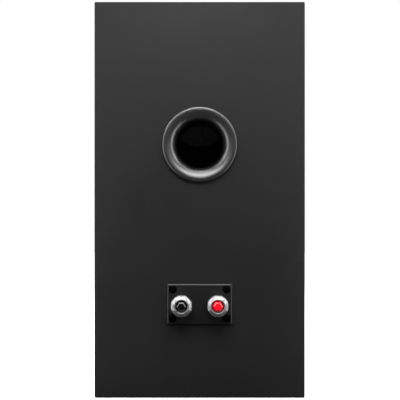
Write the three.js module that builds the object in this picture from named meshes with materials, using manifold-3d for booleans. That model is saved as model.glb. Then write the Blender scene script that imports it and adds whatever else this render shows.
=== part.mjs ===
// A ported two-way bookshelf loudspeaker: a boarded box with a full-size back
// board, a rear bass-reflex port, a pair of screw binding posts on a terminal
// plate, a woofer, a dome tweeter, a crossover with its wiring, and a
// lift-off cloth grille.
//
// Millimetres. +X is the listener's right as seen from the front, +Y points
// to the rear (port and terminals), +Z is up. The origin is at the middle of
// the footprint, on the surface the cabinet stands on.

import * as THREE from 'three';
import * as BufferGeometryUtils from 'three/addons/utils/BufferGeometryUtils.js';
import Module from 'manifold-3d';

const wasm = await Module();
wasm.setup();

// ---------------------------------------------------------------- dimensions
const WIDTH = 178;               // cabinet, side to side
const HEIGHT = 335;              // cabinet, bottom to top
const BOARD = 12;                // side, top, bottom and back boards
const BAFFLE = 15;               // front board
const BAFFLE_FRONT = -108;       // y of the baffle's front face
const REAR = 96;                 // y of the back board's rear face
const GRILLE_FRONT = -120;       // y of the cloth
const POST_END = 120;            // y of the cap of a tightened binding post

// rear port
const PORT_Z = 214.5;            // axis height
const PORT_BORE = 20;            // throat radius
const PORT_FLANGE = 31.6;        // flange radius
const PORT_PROUD = 4.5;          // flange in front of the back board
const PORT_FLARE_R = 28.6;       // radius where the flare meets the flange face
const PORT_FLARE_DEPTH = 10;     // depth of the flare along the axis
const PORT_LENGTH = 112;         // flange face to the inner end
const PORT_WALL = 2.5;
const PORT_HOLE = 27.6;          // hole in the back board

// terminal plate
const PLATE_Z = 79.5;            // middle of the plate
const PLATE_W = 55;
const PLATE_H = 34.2;
const PLATE_BACK = 96.8;         // y
const PLATE_FRONT = 99.4;        // y
const PLATE_CHAMFER = 1.0;
const PLATE_SCREW_X = 22.7;
const PLATE_SCREW_Z = 12.3;
const SLOT_W = 42;               // opening in the back board behind the plate
const SLOT_H = 17;

// binding posts
const POST_X = 15.3;             // half the spacing of the posts
const POST_Z = 78.5;
const STUD_R = 3.0;
const STUD_BORE = 2.05;          // 4 mm plug socket
const KNOB_R = 9.3;              // across the corners at the foot
const KNOB_TIP_R = 7.1;
const KNOB_Y0 = 103.6;
const KNOB_Y1 = 119.5;
const CAP_R = 4.8;

// woofer
const WOOFER_Z = 98;
const WOOFER_R = 67;             // frame flange
const WOOFER_CUT = 58.6;         // hole in the baffle
const WOOFER_SCREW_R = 62.6;

// tweeter
const TWEETER_Z = 246;
const TWEETER_R = 46;
const TWEETER_CUT = 35.5;
const TWEETER_SCREW_R = 40.5;

// grille
const GRILLE_X = 86;             // half width of the frame
const GRILLE_Z0 = 3.5;
const GRILLE_Z1 = 331.5;
const PEG_X = 81;
const PEG_Z = 6;                 // in from the frame's top and bottom edge
const PEG_R = 3;
const PEG_HOLE_R = 3.4;

// ------------------------------------------------------------------- helpers
const V = (x, y) => new THREE.Vector2(x, y);

// Welds a geometry's vertices, drops faces of no area and turns it right side out.
function closed(geometry) {
  const g = geometry.clone();
  for (const name of Object.keys(g.attributes)) if (name !== 'position') g.deleteAttribute(name);
  const m = BufferGeometryUtils.mergeVertices(g, 1e-4);
  const p = m.attributes.position;
  const index = m.index.array;
  const kept = [];
  for (let i = 0; i < index.length; i += 3) {
    const [a, b, c] = [index[i], index[i + 1], index[i + 2]];
    if (a !== b && b !== c && a !== c) kept.push(a, b, c);
  }
  let volume = 0;
  const [A, B, C] = [new THREE.Vector3(), new THREE.Vector3(), new THREE.Vector3()];
  for (let i = 0; i < kept.length; i += 3) {
    A.fromBufferAttribute(p, kept[i]);
    B.fromBufferAttribute(p, kept[i + 1]);
    C.fromBufferAttribute(p, kept[i + 2]);
    volume += A.dot(B.cross(C));
  }
  if (volume < 0) for (let i = 0; i < kept.length; i += 3) [kept[i + 1], kept[i + 2]] = [kept[i + 2], kept[i + 1]];
  m.setIndex(kept);
  return m;
}

function solid(geometry) {
  const g = closed(geometry);
  return new wasm.Manifold(new wasm.Mesh({
    numProp: 3,
    vertProperties: new Float32Array(g.attributes.position.array),
    triVerts: new Uint32Array(g.index.array),
  }));
}

function geometryOf(manifold) {
  const mesh = manifold.getMesh();
  const g = new THREE.BufferGeometry();
  g.setAttribute('position', new THREE.BufferAttribute(new Float32Array(mesh.vertProperties), 3));
  g.setIndex(new THREE.BufferAttribute(new Uint32Array(mesh.triVerts), 1));
  return g;
}

function box(x0, x1, y0, y1, z0, z1) {
  const g = new THREE.BoxGeometry(x1 - x0, y1 - y0, z1 - z0);
  g.translate((x0 + x1) / 2, (y0 + y1) / 2, (z0 + z1) / 2);
  return g;
}

// A turned piece: the profile is [radius, y] pairs, the axis runs along Y.
function turned(profile, cx, cz, segments) {
  const g = new THREE.LatheGeometry(profile.map(([r, y]) => V(r, y)), segments);
  g.translate(cx, 0, cz);
  return g;
}

// The same with its axis along Z: the profile is [radius, z] pairs.
function turnedUp(profile, cx, cy, segments) {
  const g = new THREE.LatheGeometry(profile.map(([r, z]) => V(r, z)), segments);
  g.rotateX(Math.PI / 2);
  g.translate(cx, cy, 0);
  return g;
}

// The same with its axis along X: the profile is [radius, x] pairs.
function turnedAcross(profile, cy, cz, segments) {
  const g = new THREE.LatheGeometry(profile.map(([r, x]) => V(r, x)), segments);
  g.rotateZ(-Math.PI / 2);
  g.translate(0, cy, cz);
  return g;
}

function circle(cx, cz, r, n, turn = 0) {
  const out = [];
  for (let i = 0; i < n; i++) {
    const a = (2 * Math.PI * i) / n + turn;
    out.push(V(cx + r * Math.cos(a), cz + r * Math.sin(a)));
  }
  return out;
}

function rectangle(x0, x1, z0, z1) {
  return [V(x0, z0), V(x1, z0), V(x1, z1), V(x0, z1)];
}

// An outline with round ends, wider than high.
function slot(cx, cz, w, h, n = 6) {
  const out = [];
  const r = h / 2;
  for (let i = 0; i <= n; i++) {
    const a = -Math.PI / 2 + (Math.PI * i) / n;
    out.push(V(cx + w / 2 - r + r * Math.cos(a), cz + r * Math.sin(a)));
  }
  for (let i = 0; i <= n; i++) {
    const a = Math.PI / 2 + (Math.PI * i) / n;
    out.push(V(cx - w / 2 + r + r * Math.cos(a), cz + r * Math.sin(a)));
  }
  return out;
}

// A flat board in the XZ plane with holes, from y0 to y1.
function board(outline, holes, y0, y1) {
  const shape = new THREE.Shape(outline);
  for (const h of holes) shape.holes.push(new THREE.Path(h));
  const g = new THREE.ExtrudeGeometry(shape, { depth: y1 - y0, bevelEnabled: false, steps: 1 });
  const p = g.attributes.position;
  for (let i = 0; i < p.count; i++) p.setXYZ(i, p.getX(i), y1 - p.getZ(i), p.getY(i));
  return g;
}

// A closed form through outlines of equal point count, each in an XZ plane.
function loft(sections) {
  const n = sections[0].points.length;
  const positions = [];
  for (const s of sections) for (const q of s.points) positions.push(q.x, s.y, q.y);
  const index = [];
  for (let k = 0; k + 1 < sections.length; k++) {
    for (let i = 0; i < n; i++) {
      const j = (i + 1) % n;
      const [a, b, c, d] = [k * n + i, k * n + j, (k + 1) * n + i, (k + 1) * n + j];
      index.push(a, b, d, a, d, c);
    }
  }
  const last = (sections.length - 1) * n;
  for (const [a, b, c] of THREE.ShapeUtils.triangulateShape(sections[0].points, [])) index.push(c, b, a);
  for (const [a, b, c] of THREE.ShapeUtils.triangulateShape(sections[sections.length - 1].points, [])) {
    index.push(last + a, last + b, last + c);
  }
  const g = new THREE.BufferGeometry();
  g.setAttribute('position', new THREE.Float32BufferAttribute(positions, 3));
  g.setIndex(index);
  return g;
}

// A wire: a round section swept along a smooth curve through the points.
function wire(points, r, sides, steps) {
  const path = new THREE.CatmullRomCurve3(points.map(([x, y, z]) => new THREE.Vector3(x, y, z)));
  return new THREE.ExtrudeGeometry(new THREE.Shape(circle(0, 0, r, sides)), { steps, extrudePath: path, bevelEnabled: false });
}

// A twin flex: two round cores side by side in one jacket.
function twin(points, r, steps) {
  const path = new THREE.CatmullRomCurve3(points.map(([x, y, z]) => new THREE.Vector3(x, y, z)));
  const shape = new THREE.Shape([
    V(r, 0.95 * r), V(0, 1.95 * r), V(-r, 0.95 * r), V(-0.45 * r, 0),
    V(-r, -0.95 * r), V(0, -1.95 * r), V(r, -0.95 * r), V(0.45 * r, 0),
  ]);
  return new THREE.ExtrudeGeometry(shape, { steps, extrudePath: path, bevelEnabled: false });
}

// A cross-recessed pan-head wood screw. facing is +1 with the head to +Y, -1 to -Y;
// seat is the y of the face under the head.
function screw(cx, cz, seat, facing, headR, headH, shankR, length) {
  const n = 8;
  const profile = [
    [0, headH], [headR * 0.62, headH], [headR * 0.92, headH * 0.6], [headR, 0],
    [shankR, 0], [shankR, -length + 2], [0, -length],
  ];
  let m = solid(turned(profile, 0, 0, n));
  const d = headH * 0.6;
  const bar = 0.32 * headR / 2;
  const arm = 0.58 * headR;
  m = m.subtract(solid(box(-arm, arm, headH - d, headH + 1, -bar, bar)));
  m = m.subtract(solid(box(-bar, bar, headH - d, headH + 1, -arm, arm)));
  const g = geometryOf(m);
  if (facing < 0) g.scale(1, -1, 1);
  g.translate(cx, seat, cz);
  return closed(g);
}

const part = new THREE.Group();
part.name = 'bookshelf_speaker';

const MATERIALS = {
  vinyl: { color: 0x1b1b1c, roughness: 0.62, metalness: 0 },
  black_plastic: { color: 0x151515, roughness: 0.35, metalness: 0 },
  plate_plastic: { color: 0x181818, roughness: 0.5, metalness: 0 },
  foam: { color: 0x2a2a2a, roughness: 0.95, metalness: 0 },
  felt: { color: 0xb9b6ad, roughness: 1, metalness: 0 },
  black_steel: { color: 0x101010, roughness: 0.4, metalness: 0.8 },
  zinc: { color: 0xb8bcc0, roughness: 0.35, metalness: 1 },
  nickel: { color: 0xd6d6d4, roughness: 0.2, metalness: 1 },
  chrome: { color: 0xe2e4e6, roughness: 0.16, metalness: 1 },
  cap_black: { color: 0x0c0c0c, roughness: 0.2, metalness: 0 },
  cap_red: { color: 0xe0061f, roughness: 0.2, metalness: 0 },
  hardboard: { color: 0x6b4a2e, roughness: 0.85, metalness: 0 },
  copper: { color: 0xb4622f, roughness: 0.4, metalness: 0.8 },
  film: { color: 0xc9a227, roughness: 0.35, metalness: 0 },
  sleeve: { color: 0x20242c, roughness: 0.3, metalness: 0 },
  paper: { color: 0x1a1a1a, roughness: 0.85, metalness: 0 },
  rubber: { color: 0x131313, roughness: 0.6, metalness: 0 },
  spider_cloth: { color: 0xc28f3c, roughness: 0.9, metalness: 0 },
  former: { color: 0xa58a56, roughness: 0.5, metalness: 0.3 },
  ferrite: { color: 0x2c2c2e, roughness: 0.7, metalness: 0 },
  silk: { color: 0x161616, roughness: 0.75, metalness: 0 },
  cloth: { color: 0x0e0e0e, roughness: 0.95, metalness: 0 },
  wire_black: { color: 0x141414, roughness: 0.5, metalness: 0 },
  wire_red: { color: 0xb01018, roughness: 0.5, metalness: 0 },
  wire_grey: { color: 0x55585c, roughness: 0.5, metalness: 0 },
};

function add(name, geometry, material) {
  const mesh = new THREE.Mesh(closed(geometry), new THREE.MeshStandardMaterial(MATERIALS[material]));
  mesh.name = name;
  part.add(mesh);
  return mesh;
}

// ------------------------------------------------------------------- cabinet
const X = WIDTH / 2;
const SHELL_Y0 = BAFFLE_FRONT + BAFFLE;
const SHELL_Y1 = REAR - BOARD;

// Four boards mitred at the corners.
add('left_side_board', board([V(-X, 0), V(-X + BOARD, BOARD), V(-X + BOARD, HEIGHT - BOARD), V(-X, HEIGHT)], [], SHELL_Y0, SHELL_Y1), 'vinyl');
add('right_side_board', board([V(X, 0), V(X, HEIGHT), V(X - BOARD, HEIGHT - BOARD), V(X - BOARD, BOARD)], [], SHELL_Y0, SHELL_Y1), 'vinyl');
add('top_board', board([V(-X, HEIGHT), V(-X + BOARD, HEIGHT - BOARD), V(X - BOARD, HEIGHT - BOARD), V(X, HEIGHT)], [], SHELL_Y0, SHELL_Y1), 'vinyl');
add('bottom_board', board([V(-X, 0), V(X, 0), V(X - BOARD, BOARD), V(-X + BOARD, BOARD)], [], SHELL_Y0, SHELL_Y1), 'vinyl');

// Back board with the port hole, the terminal slot and the pilot holes of its screws.
const plateScrews = [[-1, 1], [1, 1], [-1, -1], [1, -1]].map(([i, k]) => [i * PLATE_SCREW_X, PLATE_Z + k * PLATE_SCREW_Z]);
add('back_board', board(
  rectangle(-X, X, 0, HEIGHT),
  [
    circle(0, PORT_Z, PORT_HOLE, 36),
    slot(0, POST_Z, SLOT_W, SLOT_H),
    ...plateScrews.map(([x, z]) => circle(x, z, 1.8, 8)),
  ],
  SHELL_Y1, REAR), 'vinyl');

// Front baffle with both driver holes, their pilot holes and the blind peg holes.
const wooferScrews = [45, 135, 225, 315].map((d) => {
  const a = (d * Math.PI) / 180;
  return [WOOFER_SCREW_R * Math.cos(a), WOOFER_Z + WOOFER_SCREW_R * Math.sin(a)];
});
const tweeterScrews = [90, 210, 330].map((d) => {
  const a = (d * Math.PI) / 180;
  return [TWEETER_SCREW_R * Math.cos(a), TWEETER_Z + TWEETER_SCREW_R * Math.sin(a)];
});
const pegs = [[-PEG_X, GRILLE_Z0 + PEG_Z], [PEG_X, GRILLE_Z0 + PEG_Z], [-PEG_X, GRILLE_Z1 - PEG_Z], [PEG_X, GRILLE_Z1 - PEG_Z]];
let baffle = solid(board(
  rectangle(-X, X, 0, HEIGHT),
  [
    circle(0, WOOFER_Z, WOOFER_CUT, 36),
    circle(0, TWEETER_Z, TWEETER_CUT, 30),
    ...wooferScrews.map(([x, z]) => circle(x, z, 1.8, 8)),
    ...tweeterScrews.map(([x, z]) => circle(x, z, 1.8, 8)),
  ],
  BAFFLE_FRONT, SHELL_Y0));
for (const [x, z] of pegs) {
  baffle = baffle.subtract(solid(turned([[0, BAFFLE_FRONT - 1], [PEG_HOLE_R, BAFFLE_FRONT - 1], [PEG_HOLE_R, BAFFLE_FRONT + 12], [0, BAFFLE_FRONT + 12]], x, z, 12)));
}
add('front_baffle', geometryOf(baffle), 'vinyl');

// Wadding glued inside the cabinet.
add('damping_pad', box(-68, 68, -60, 66, HEIGHT - BOARD - 12.3, HEIGHT - BOARD - 0.3), 'felt');

// ---------------------------------------------------------------------- port
{
  const face = REAR + PORT_PROUD;
  const lip = 1.4;
  const profile = [[PORT_BORE, face - PORT_LENGTH], [PORT_BORE, face - PORT_FLARE_DEPTH]];
  for (let i = 1; i <= 6; i++) {
    const t = (i * Math.PI) / 12;
    profile.push([
      PORT_FLARE_R - (PORT_FLARE_R - PORT_BORE) * Math.cos(t),
      face - PORT_FLARE_DEPTH + PORT_FLARE_DEPTH * Math.sin(t),
    ]);
  }
  profile.push(
    [PORT_FLANGE - lip, face - 0.25],
    [PORT_FLANGE - 0.3 * lip, face - 0.25 - 0.3 * lip],
    [PORT_FLANGE, face - 0.25 - lip],
    [PORT_FLANGE, REAR + 0.2],
    [PORT_HOLE - 0.5, REAR + 0.2],
    [PORT_HOLE - 0.5, REAR - 7],
    [PORT_BORE + PORT_WALL, REAR - 14],
    [PORT_BORE + PORT_WALL, face - PORT_LENGTH],
    [PORT_BORE, face - PORT_LENGTH],
  );
  add('port_tube', turned(profile, 0, PORT_Z, 36), 'black_plastic');
}

// ------------------------------------------------------------ terminal plate
{
  const outline = (inset) => rectangle(-PLATE_W / 2 + inset, PLATE_W / 2 - inset, PLATE_Z - PLATE_H / 2 + inset, PLATE_Z + PLATE_H / 2 - inset);
  let m = solid(loft([
    { y: PLATE_BACK, points: outline(0) },
    { y: PLATE_FRONT - PLATE_CHAMFER, points: outline(0) },
    { y: PLATE_FRONT, points: outline(PLATE_CHAMFER) },
  ]));
  for (const [x, z] of plateScrews) {
    m = m.subtract(solid(turned([
      [0, PLATE_BACK - 1], [1.8, PLATE_BACK - 1], [1.8, PLATE_FRONT - 1.5], [3.3, PLATE_FRONT - 1.5], [3.3, PLATE_FRONT + 1], [0, PLATE_FRONT + 1],
    ], x, z, 12)));
  }
  for (const s of [-1, 1]) {
    m = m.subtract(solid(turned([[0, PLATE_BACK - 1], [2.4, PLATE_BACK - 1], [2.4, PLATE_FRONT + 1], [0, PLATE_FRONT + 1]], s * POST_X, POST_Z, 12)));
  }
  add('terminal_plate', geometryOf(m), 'plate_plastic');
  add('terminal_gasket', board(
    rectangle(-PLATE_W / 2 + 0.4, PLATE_W / 2 - 0.4, PLATE_Z - PLATE_H / 2 + 0.4, PLATE_Z + PLATE_H / 2 - 0.4),
    [slot(0, POST_Z, SLOT_W, SLOT_H), ...plateScrews.map(([x, z]) => circle(x, z, 2.1, 8))],
    REAR + 0.1, PLATE_BACK - 0.1), 'foam');
  plateScrews.forEach(([x, z], i) => add(`terminal_screw_${i + 1}`, screw(x, z, PLATE_FRONT - 1.3, 1, 2.7, 1.1, 1.4, 13), 'black_steel'));
}

// ------------------------------------------------------------- binding posts
// The black post is at +X, the red post at -X: seen from the rear, black is on the left.
for (const [colour, s] of [['black', 1], ['red', -1]]) {
  const cx = s * POST_X;
  const collar = PLATE_FRONT + 0.2;

  // Threaded stud: inner thread, collar on the plate, outer thread with a plug
  // socket down its end and a cross hole for bare wire near the collar.
  let stud = solid(turned([
    [0, 88], [2, 88], [2, collar], [6.6, collar], [6.6, collar + 1.9], [STUD_R, collar + 2.1],
    [STUD_R, 113.6], [STUD_BORE, 113.6], [STUD_BORE, 102.6], [0, 102.6],
  ], cx, POST_Z, 16));
  const cross = turnedUp([[0, POST_Z - 8], [1.1, POST_Z - 8], [1.1, POST_Z + 8], [0, POST_Z + 8]], cx, 104.6, 8);
  stud = stud.subtract(solid(cross));
  add(`binding_stud_${colour}`, geometryOf(stud), 'nickel');

  // Ring tab with a tongue that turns inward, then the nut that holds it all.
  let tab = solid(board(circle(cx, POST_Z, 4.3, 12), [circle(cx, POST_Z, 2.3, 8)], 95.9, 96.5));
  tab = tab.add(solid(box(Math.min(s * 6, s * 11.3), Math.max(s * 6, s * 11.3), 95.9, 96.5, POST_Z - 1.8, POST_Z + 1.8)));
  tab = tab.add(solid(box(Math.min(s * 6, s * 6.6), Math.max(s * 6, s * 6.6), 86.5, 96.2, POST_Z - 1.8, POST_Z + 1.8)));
  add(`solder_tab_${colour}`, geometryOf(tab), 'nickel');
  add(`stud_nut_${colour}`, board(circle(cx, POST_Z, 4.04, 6), [circle(cx, POST_Z, 2.4, 8)], 92.5, 95.6), 'zinc');

  // Loose washer that presses the wire, held on the knob's foot.
  add(`clamp_washer_${colour}`, board(circle(cx, POST_Z, 6.8, 18), [circle(cx, POST_Z, 3.3, 12)], 102.0, 103.2), 'nickel');

  // Knob: eight flats that run out into a round lip.
  const knobOutline = (corner, round) => {
    const out = [];
    for (let i = 0; i < 16; i++) {
      const a = (Math.PI * i) / 8;
      const flat = i % 2 ? corner : corner * Math.cos(Math.PI / 8);
      const r = flat + (corner * 0.965 - flat) * round;
      out.push(V(cx + r * Math.cos(a), POST_Z + r * Math.sin(a)));
    }
    return out;
  };
  let knob = solid(loft([
    { y: KNOB_Y0, points: knobOutline(KNOB_R - 0.5, 0.4) },
    { y: KNOB_Y0 + 0.6, points: knobOutline(KNOB_R, 0.4) },
    { y: KNOB_Y1 - 3.1, points: knobOutline(KNOB_R - 0.05, 0.4) },
    { y: KNOB_Y1 - 2.55, points: knobOutline(KNOB_R - 0.3, 0.45) },
    { y: KNOB_Y1 - 0.6, points: knobOutline(KNOB_TIP_R, 0.7) },
    { y: KNOB_Y1 - 0.15, points: knobOutline(KNOB_TIP_R - 0.7, 1) },
    { y: KNOB_Y1, points: knobOutline(KNOB_TIP_R - 1.2, 1) },
  ]));
  knob = knob.subtract(solid(turned([
    [0, KNOB_Y0 - 1], [3.25, KNOB_Y0 - 1], [3.25, 114], [5.2, 114], [5.2, KNOB_Y1 + 1], [0, KNOB_Y1 + 1],
  ], cx, POST_Z, 16)));
  add(`knob_nut_${colour}`, geometryOf(knob), 'chrome');

  // Plug-hole cap: a pin in the stud's socket and a tapered hexagonal head.
  const hexOutline = (r, round) => {
    const out = [];
    for (let i = 0; i < 12; i++) {
      const a = (Math.PI * i) / 6;
      const flat = i % 2 ? r * Math.cos(Math.PI / 6) : r;
      const rr = flat + (r - flat) * round;
      out.push(V(cx + rr * Math.cos(a), POST_Z + rr * Math.sin(a)));
    }
    return out;
  };
  let cap = solid(loft([
    { y: 114.3, points: hexOutline(CAP_R, 1) },
    { y: 116.3, points: hexOutline(CAP_R, 1) },
    { y: 116.7, points: hexOutline(CAP_R, 0) },
    { y: POST_END - 1.5, points: hexOutline(CAP_R - 0.1, 0) },
    { y: POST_END, points: hexOutline(CAP_R - 1.55, 0) },
  ]));
  cap = cap.add(solid(turned([[0, 103.2], [1.4, 103.2], [1.8, 104.4], [1.8, 115], [0, 115]], cx, POST_Z, 10)));
  add(`plug_cap_${colour}`, geometryOf(cap), `cap_${colour}`);
}

// -------------------------------------------------------------------- woofer
{
  const cz = WOOFER_Z;

  // Pressed frame with six windows and a landing for the spider.
  let frame = solid(turned([
    [WOOFER_R, -110.7], [WOOFER_R, -108.2], [57.6, -108.2], [56.6, -96], [41, -66.2], [16, -66.2],
    [16, -67.8], [32, -67.8], [32, -73], [36, -73], [36, -67.8], [39.8, -67.8], [54.9, -96.6], [55.6, -110.7], [WOOFER_R, -110.7],
  ], 0, cz, 30));
  for (let k = 0; k < 6; k++) {
    const w = box(38.5, 62, -93, -71, -15, 15);
    w.rotateY((k * Math.PI) / 3);
    w.translate(0, 0, cz);
    frame = frame.subtract(solid(w));
  }
  for (const [x, z] of wooferScrews) {
    frame = frame.subtract(solid(turned([[0, -113], [1.8, -113], [1.8, -106], [0, -106]], x, z, 8)));
  }
  // Terminal block for the cable, on the spoke that points down.
  frame = frame.add(solid(box(-9, 9, -84, -76, cz - 56, cz - 46.5)));
  add('woofer_frame', geometryOf(frame), 'black_steel');

  add('woofer_trim_ring', board(circle(0, cz, WOOFER_R - 0.2, 36), [circle(0, cz, 58.2, 36), ...wooferScrews.map(([x, z]) => circle(x, z, 3.1, 8))], -113.2, -110.9), 'black_plastic');
  wooferScrews.forEach(([x, z], i) => add(`woofer_screw_${i + 1}`, screw(x, z, -110.9, -1, 2.7, 1.9, 1.4, 16), 'black_steel'));

  // Half-roll surround between the cone's edge and the frame.
  const outer = [];
  const inner = [];
  for (let i = 0; i <= 6; i++) {
    const t = (Math.PI * i) / 6;
    const base = -107.6 + (-111.3 + 107.6) * (i / 6);
    outer.push([51.6 - 4.3 * Math.cos(t), base - 4.6 * Math.sin(t) - 0.3]);
    inner.push([51.6 - 3.75 * Math.cos(t), base - 4.05 * Math.sin(t) + 0.3]);
  }
  add('woofer_surround', turned([
    [44.6, -107.9], ...outer, [57.8, -111.6], [57.8, -110.95], ...inner.reverse(), [44.6, -107.3], [44.6, -107.9],
  ], 0, cz, 28), 'rubber');

  // Cone, dust cap, and the voice coil on its former.
  add('woofer_cone', turned([
    [13.6, -88.7], [24, -95.2], [36, -101.6], [46.6, -106.9], [46.6, -106.1], [36, -100.7], [24, -94.3], [13.6, -87.6], [13.6, -88.7],
  ], 0, cz, 32), 'paper');
  const capOuter = [];
  const capInner = [];
  for (let i = 0; i <= 4; i++) {
    const t = (Math.PI / 2) * (i / 4);
    capOuter.push([16 * Math.cos(t), -90.9 - 7.2 * Math.sin(t)]);
    capInner.push([15.4 * Math.cos(t), -90.4 - 7.1 * Math.sin(t)]);
  }
  capOuter[4][0] = 0;
  capInner[4][0] = 0;
  add('dust_cap', turned([...capOuter.reverse(), ...capInner], 0, cz, 20), 'paper');
  add('voice_coil', turned([
    [12.6, -89], [13.15, -89], [13.15, -69], [13.5, -68.5], [13.5, -59], [12.6, -59], [12.6, -89],
  ], 0, cz, 24), 'former');

  // Corrugated spider from the former to the frame's landing.
  const top = [];
  const under = [];
  const rolls = 2;
  const n = 8;
  for (let i = 0; i <= n; i++) {
    const r = 15 + (32.5 - 15) * (i / n);
    const wave = 1.1 * Math.sin((2 * Math.PI * rolls * i) / n);
    top.push([r, -73.9 + wave]);
    under.push([r, -73.35 + wave]);
  }
  add('woofer_spider', turned([[13.5, -73.9], ...top, [35.6, -73.8], [35.6, -73.25], ...under.reverse(), [13.5, -73.35], [13.5, -73.9]], 0, cz, 20), 'spider_cloth');

  // Motor: front plate, ferrite ring, and the yoke with its pole piece.
  add('woofer_top_plate', turned([[13.95, -66], [35, -66], [35, -61], [13.95, -61], [13.95, -66]], 0, cz, 28), 'zinc');
  add('woofer_magnet', turned([[18, -60.8], [40, -60.8], [40, -46.8], [18, -46.8], [18, -60.8]], 0, cz, 28), 'ferrite');
  add('woofer_yoke', turned([[0, -66.5], [11.9, -66.5], [11.9, -46.6], [36, -46.6], [36, -41.6], [0, -41.6]], 0, cz, 24), 'zinc');
}

// ------------------------------------------------------------------- tweeter
{
  const cz = TWEETER_Z;
  let face = solid(turned([
    [TWEETER_R, -110.2], [TWEETER_R, -108.2], [34.5, -108.2], [34.5, -100.2], [15.7, -100.2], [15.7, -103.4],
    [18.5, -105.6], [23, -108.2], [29, -110.3], [34, -111], [TWEETER_R - 0.8, -111], [TWEETER_R, -110.2],
  ], 0, cz, 32));
  for (const [x, z] of tweeterScrews) {
    face = face.subtract(solid(turned([[0, -112], [3.1, -112], [3.1, -109.9], [1.8, -109.9], [1.8, -106], [0, -106]], x, z, 8)));
  }
  // Solder lug post behind the rim.
  face = face.add(solid(box(31, 33.6, -100.6, -82, cz - 3, cz + 3)));
  add('tweeter_faceplate', geometryOf(face), 'black_plastic');
  tweeterScrews.forEach(([x, z], i) => add(`tweeter_screw_${i + 1}`, screw(x, z, -110.1, -1, 2.7, 1.4, 1.4, 14), 'black_steel'));

  const outer = [];
  const inner = [];
  for (let i = 0; i <= 4; i++) {
    const t = (Math.PI * i) / 4;
    outer.push([14.3 - 1.1 * Math.cos(t), -101.5 - 1.2 * Math.sin(t)]);
    inner.push([14.3 - 0.75 * Math.cos(t), -101.2 - 1.1 * Math.sin(t)]);
  }
  add('tweeter_surround', turned([...outer, ...inner.reverse(), outer[0]], 0, cz, 20), 'rubber');

  // Soft dome with its coil former.
  const domeOuter = [];
  const domeInner = [];
  for (let i = 0; i <= 4; i++) {
    const t = (Math.PI / 2) * (i / 4);
    domeOuter.push([12.9 * Math.cos(t), -101.4 - 5.8 * Math.sin(t)]);
    domeInner.push([12.45 * Math.cos(t), -101.2 - 5.55 * Math.sin(t)]);
  }
  domeOuter[4][0] = 0;
  domeInner[4][0] = 0;
  add('tweeter_dome', turned([...domeOuter.reverse(), [12.9, -94.6], [12.45, -94.6], ...domeInner], 0, cz, 20), 'silk');

  add('tweeter_top_plate', turned([[13.4, -99.9], [30, -99.9], [30, -96.8], [13.4, -96.8], [13.4, -99.9]], 0, cz, 24), 'zinc');
  add('tweeter_magnet', turned([[16, -96.6], [30.3, -96.6], [30.3, -87.6], [16, -87.6], [16, -96.6]], 0, cz, 24), 'ferrite');
  add('tweeter_yoke', turned([[0, -99.6], [11.8, -99.6], [11.8, -87.4], [29, -87.4], [29, -83.4], [0, -83.4]], 0, cz, 24), 'zinc');
}

// -------------------------------------------------------- crossover and leads
{
  const z0 = BOARD;
  add('crossover_board', box(-45, 45, 2, 64, z0, z0 + 4), 'hardboard');
  const s = z0 + 4.1;
  add('woofer_inductor', turnedUp([[9, s], [18, s], [18, s + 16], [9, s + 16], [9, s]], -24, 26, 20), 'copper');
  add('tweeter_inductor', turnedUp([[6, s], [12, s], [12, s + 12], [6, s + 12], [6, s]], 28, 48, 16), 'copper');
  add('woofer_capacitor', turnedAcross([[0, 1], [7.2, 1], [8, 1.8], [8, 34.2], [7.2, 35], [0, 35]], 14, s + 8, 14), 'sleeve');
  add('tweeter_capacitor', turnedAcross([[0, -34], [6, -34], [6.5, -33.5], [6.5, -6.5], [6, -6], [0, -6]], 54, s + 6.5, 12), 'film');

  add('lead_black', wire([[5.1, 86.8, POST_Z], [5.2, 81, POST_Z - 0.5], [10, 74, POST_Z - 8], [24, 66, 54], [38, 50, 36], [41.5, 33, 26], [41, 27.2, 20], [41, 27, 16.4]], 0.9, 6, 18), 'wire_black');
  add('lead_red', wire([[-5.1, 86.8, POST_Z], [-5.2, 81, POST_Z - 0.5], [-10, 76, POST_Z - 8], [-24, 73, 54], [-36, 66, 34], [-40, 58.2, 21], [-40, 58, 16.4]], 0.9, 6, 16), 'wire_red');
  add('woofer_cable', twin([[-38, 5, 16.5], [-38, 4.9, 20], [-37.5, 2, 25], [-34, -12, 34], [-24, -36, 40], [-12, -60, 44], [-2, -70, 47], [0, -75.4, 47]], 1.1, 18), 'wire_grey');
  add('tweeter_cable', twin([[41, 6, 16.5], [41, 5.9, 20], [43, 3, 26], [54, -12, 50], [62, -30, 90], [62, -44, 150], [58, -60, 200], [52, -70, 226], [43, -81, 241], [36, -86.5, 246]], 1.1, 26), 'wire_grey');
}

// -------------------------------------------------------------------- grille
{
  const y0 = -119.2;
  const y1 = -109;
  let frame = solid(board(
    rectangle(-GRILLE_X, GRILLE_X, GRILLE_Z0, GRILLE_Z1),
    [rectangle(-76, 76, GRILLE_Z0 + 12, 177), rectangle(-76, 76, 189, GRILLE_Z1 - 12)],
    y0, y1));
  for (const [x, z] of pegs) {
    frame = frame.add(solid(turned([[0, y1 - 1], [PEG_R, y1 - 1], [PEG_R, -99.5], [PEG_R - 0.8, -98.5], [0, -98.5]], x, z, 12)));
  }
  add('grille_frame', geometryOf(frame), 'black_plastic');

  // Cloth stretched over the frame's front and sides.
  const cloth = solid(box(-GRILLE_X - 1, GRILLE_X + 1, GRILLE_FRONT, -109.6, GRILLE_Z0 - 1, GRILLE_Z1 + 1))
    .subtract(solid(box(-GRILLE_X - 0.3, GRILLE_X + 0.3, GRILLE_FRONT + 0.5, -108, GRILLE_Z0 - 0.3, GRILLE_Z1 + 0.3)));
  add('grille_cloth', geometryOf(cloth), 'cloth');
}

export default part;
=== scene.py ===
import math
import random

import bmesh
import bpy
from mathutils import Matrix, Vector, noise
from mathutils.geometry import tessellate_polygon


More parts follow.
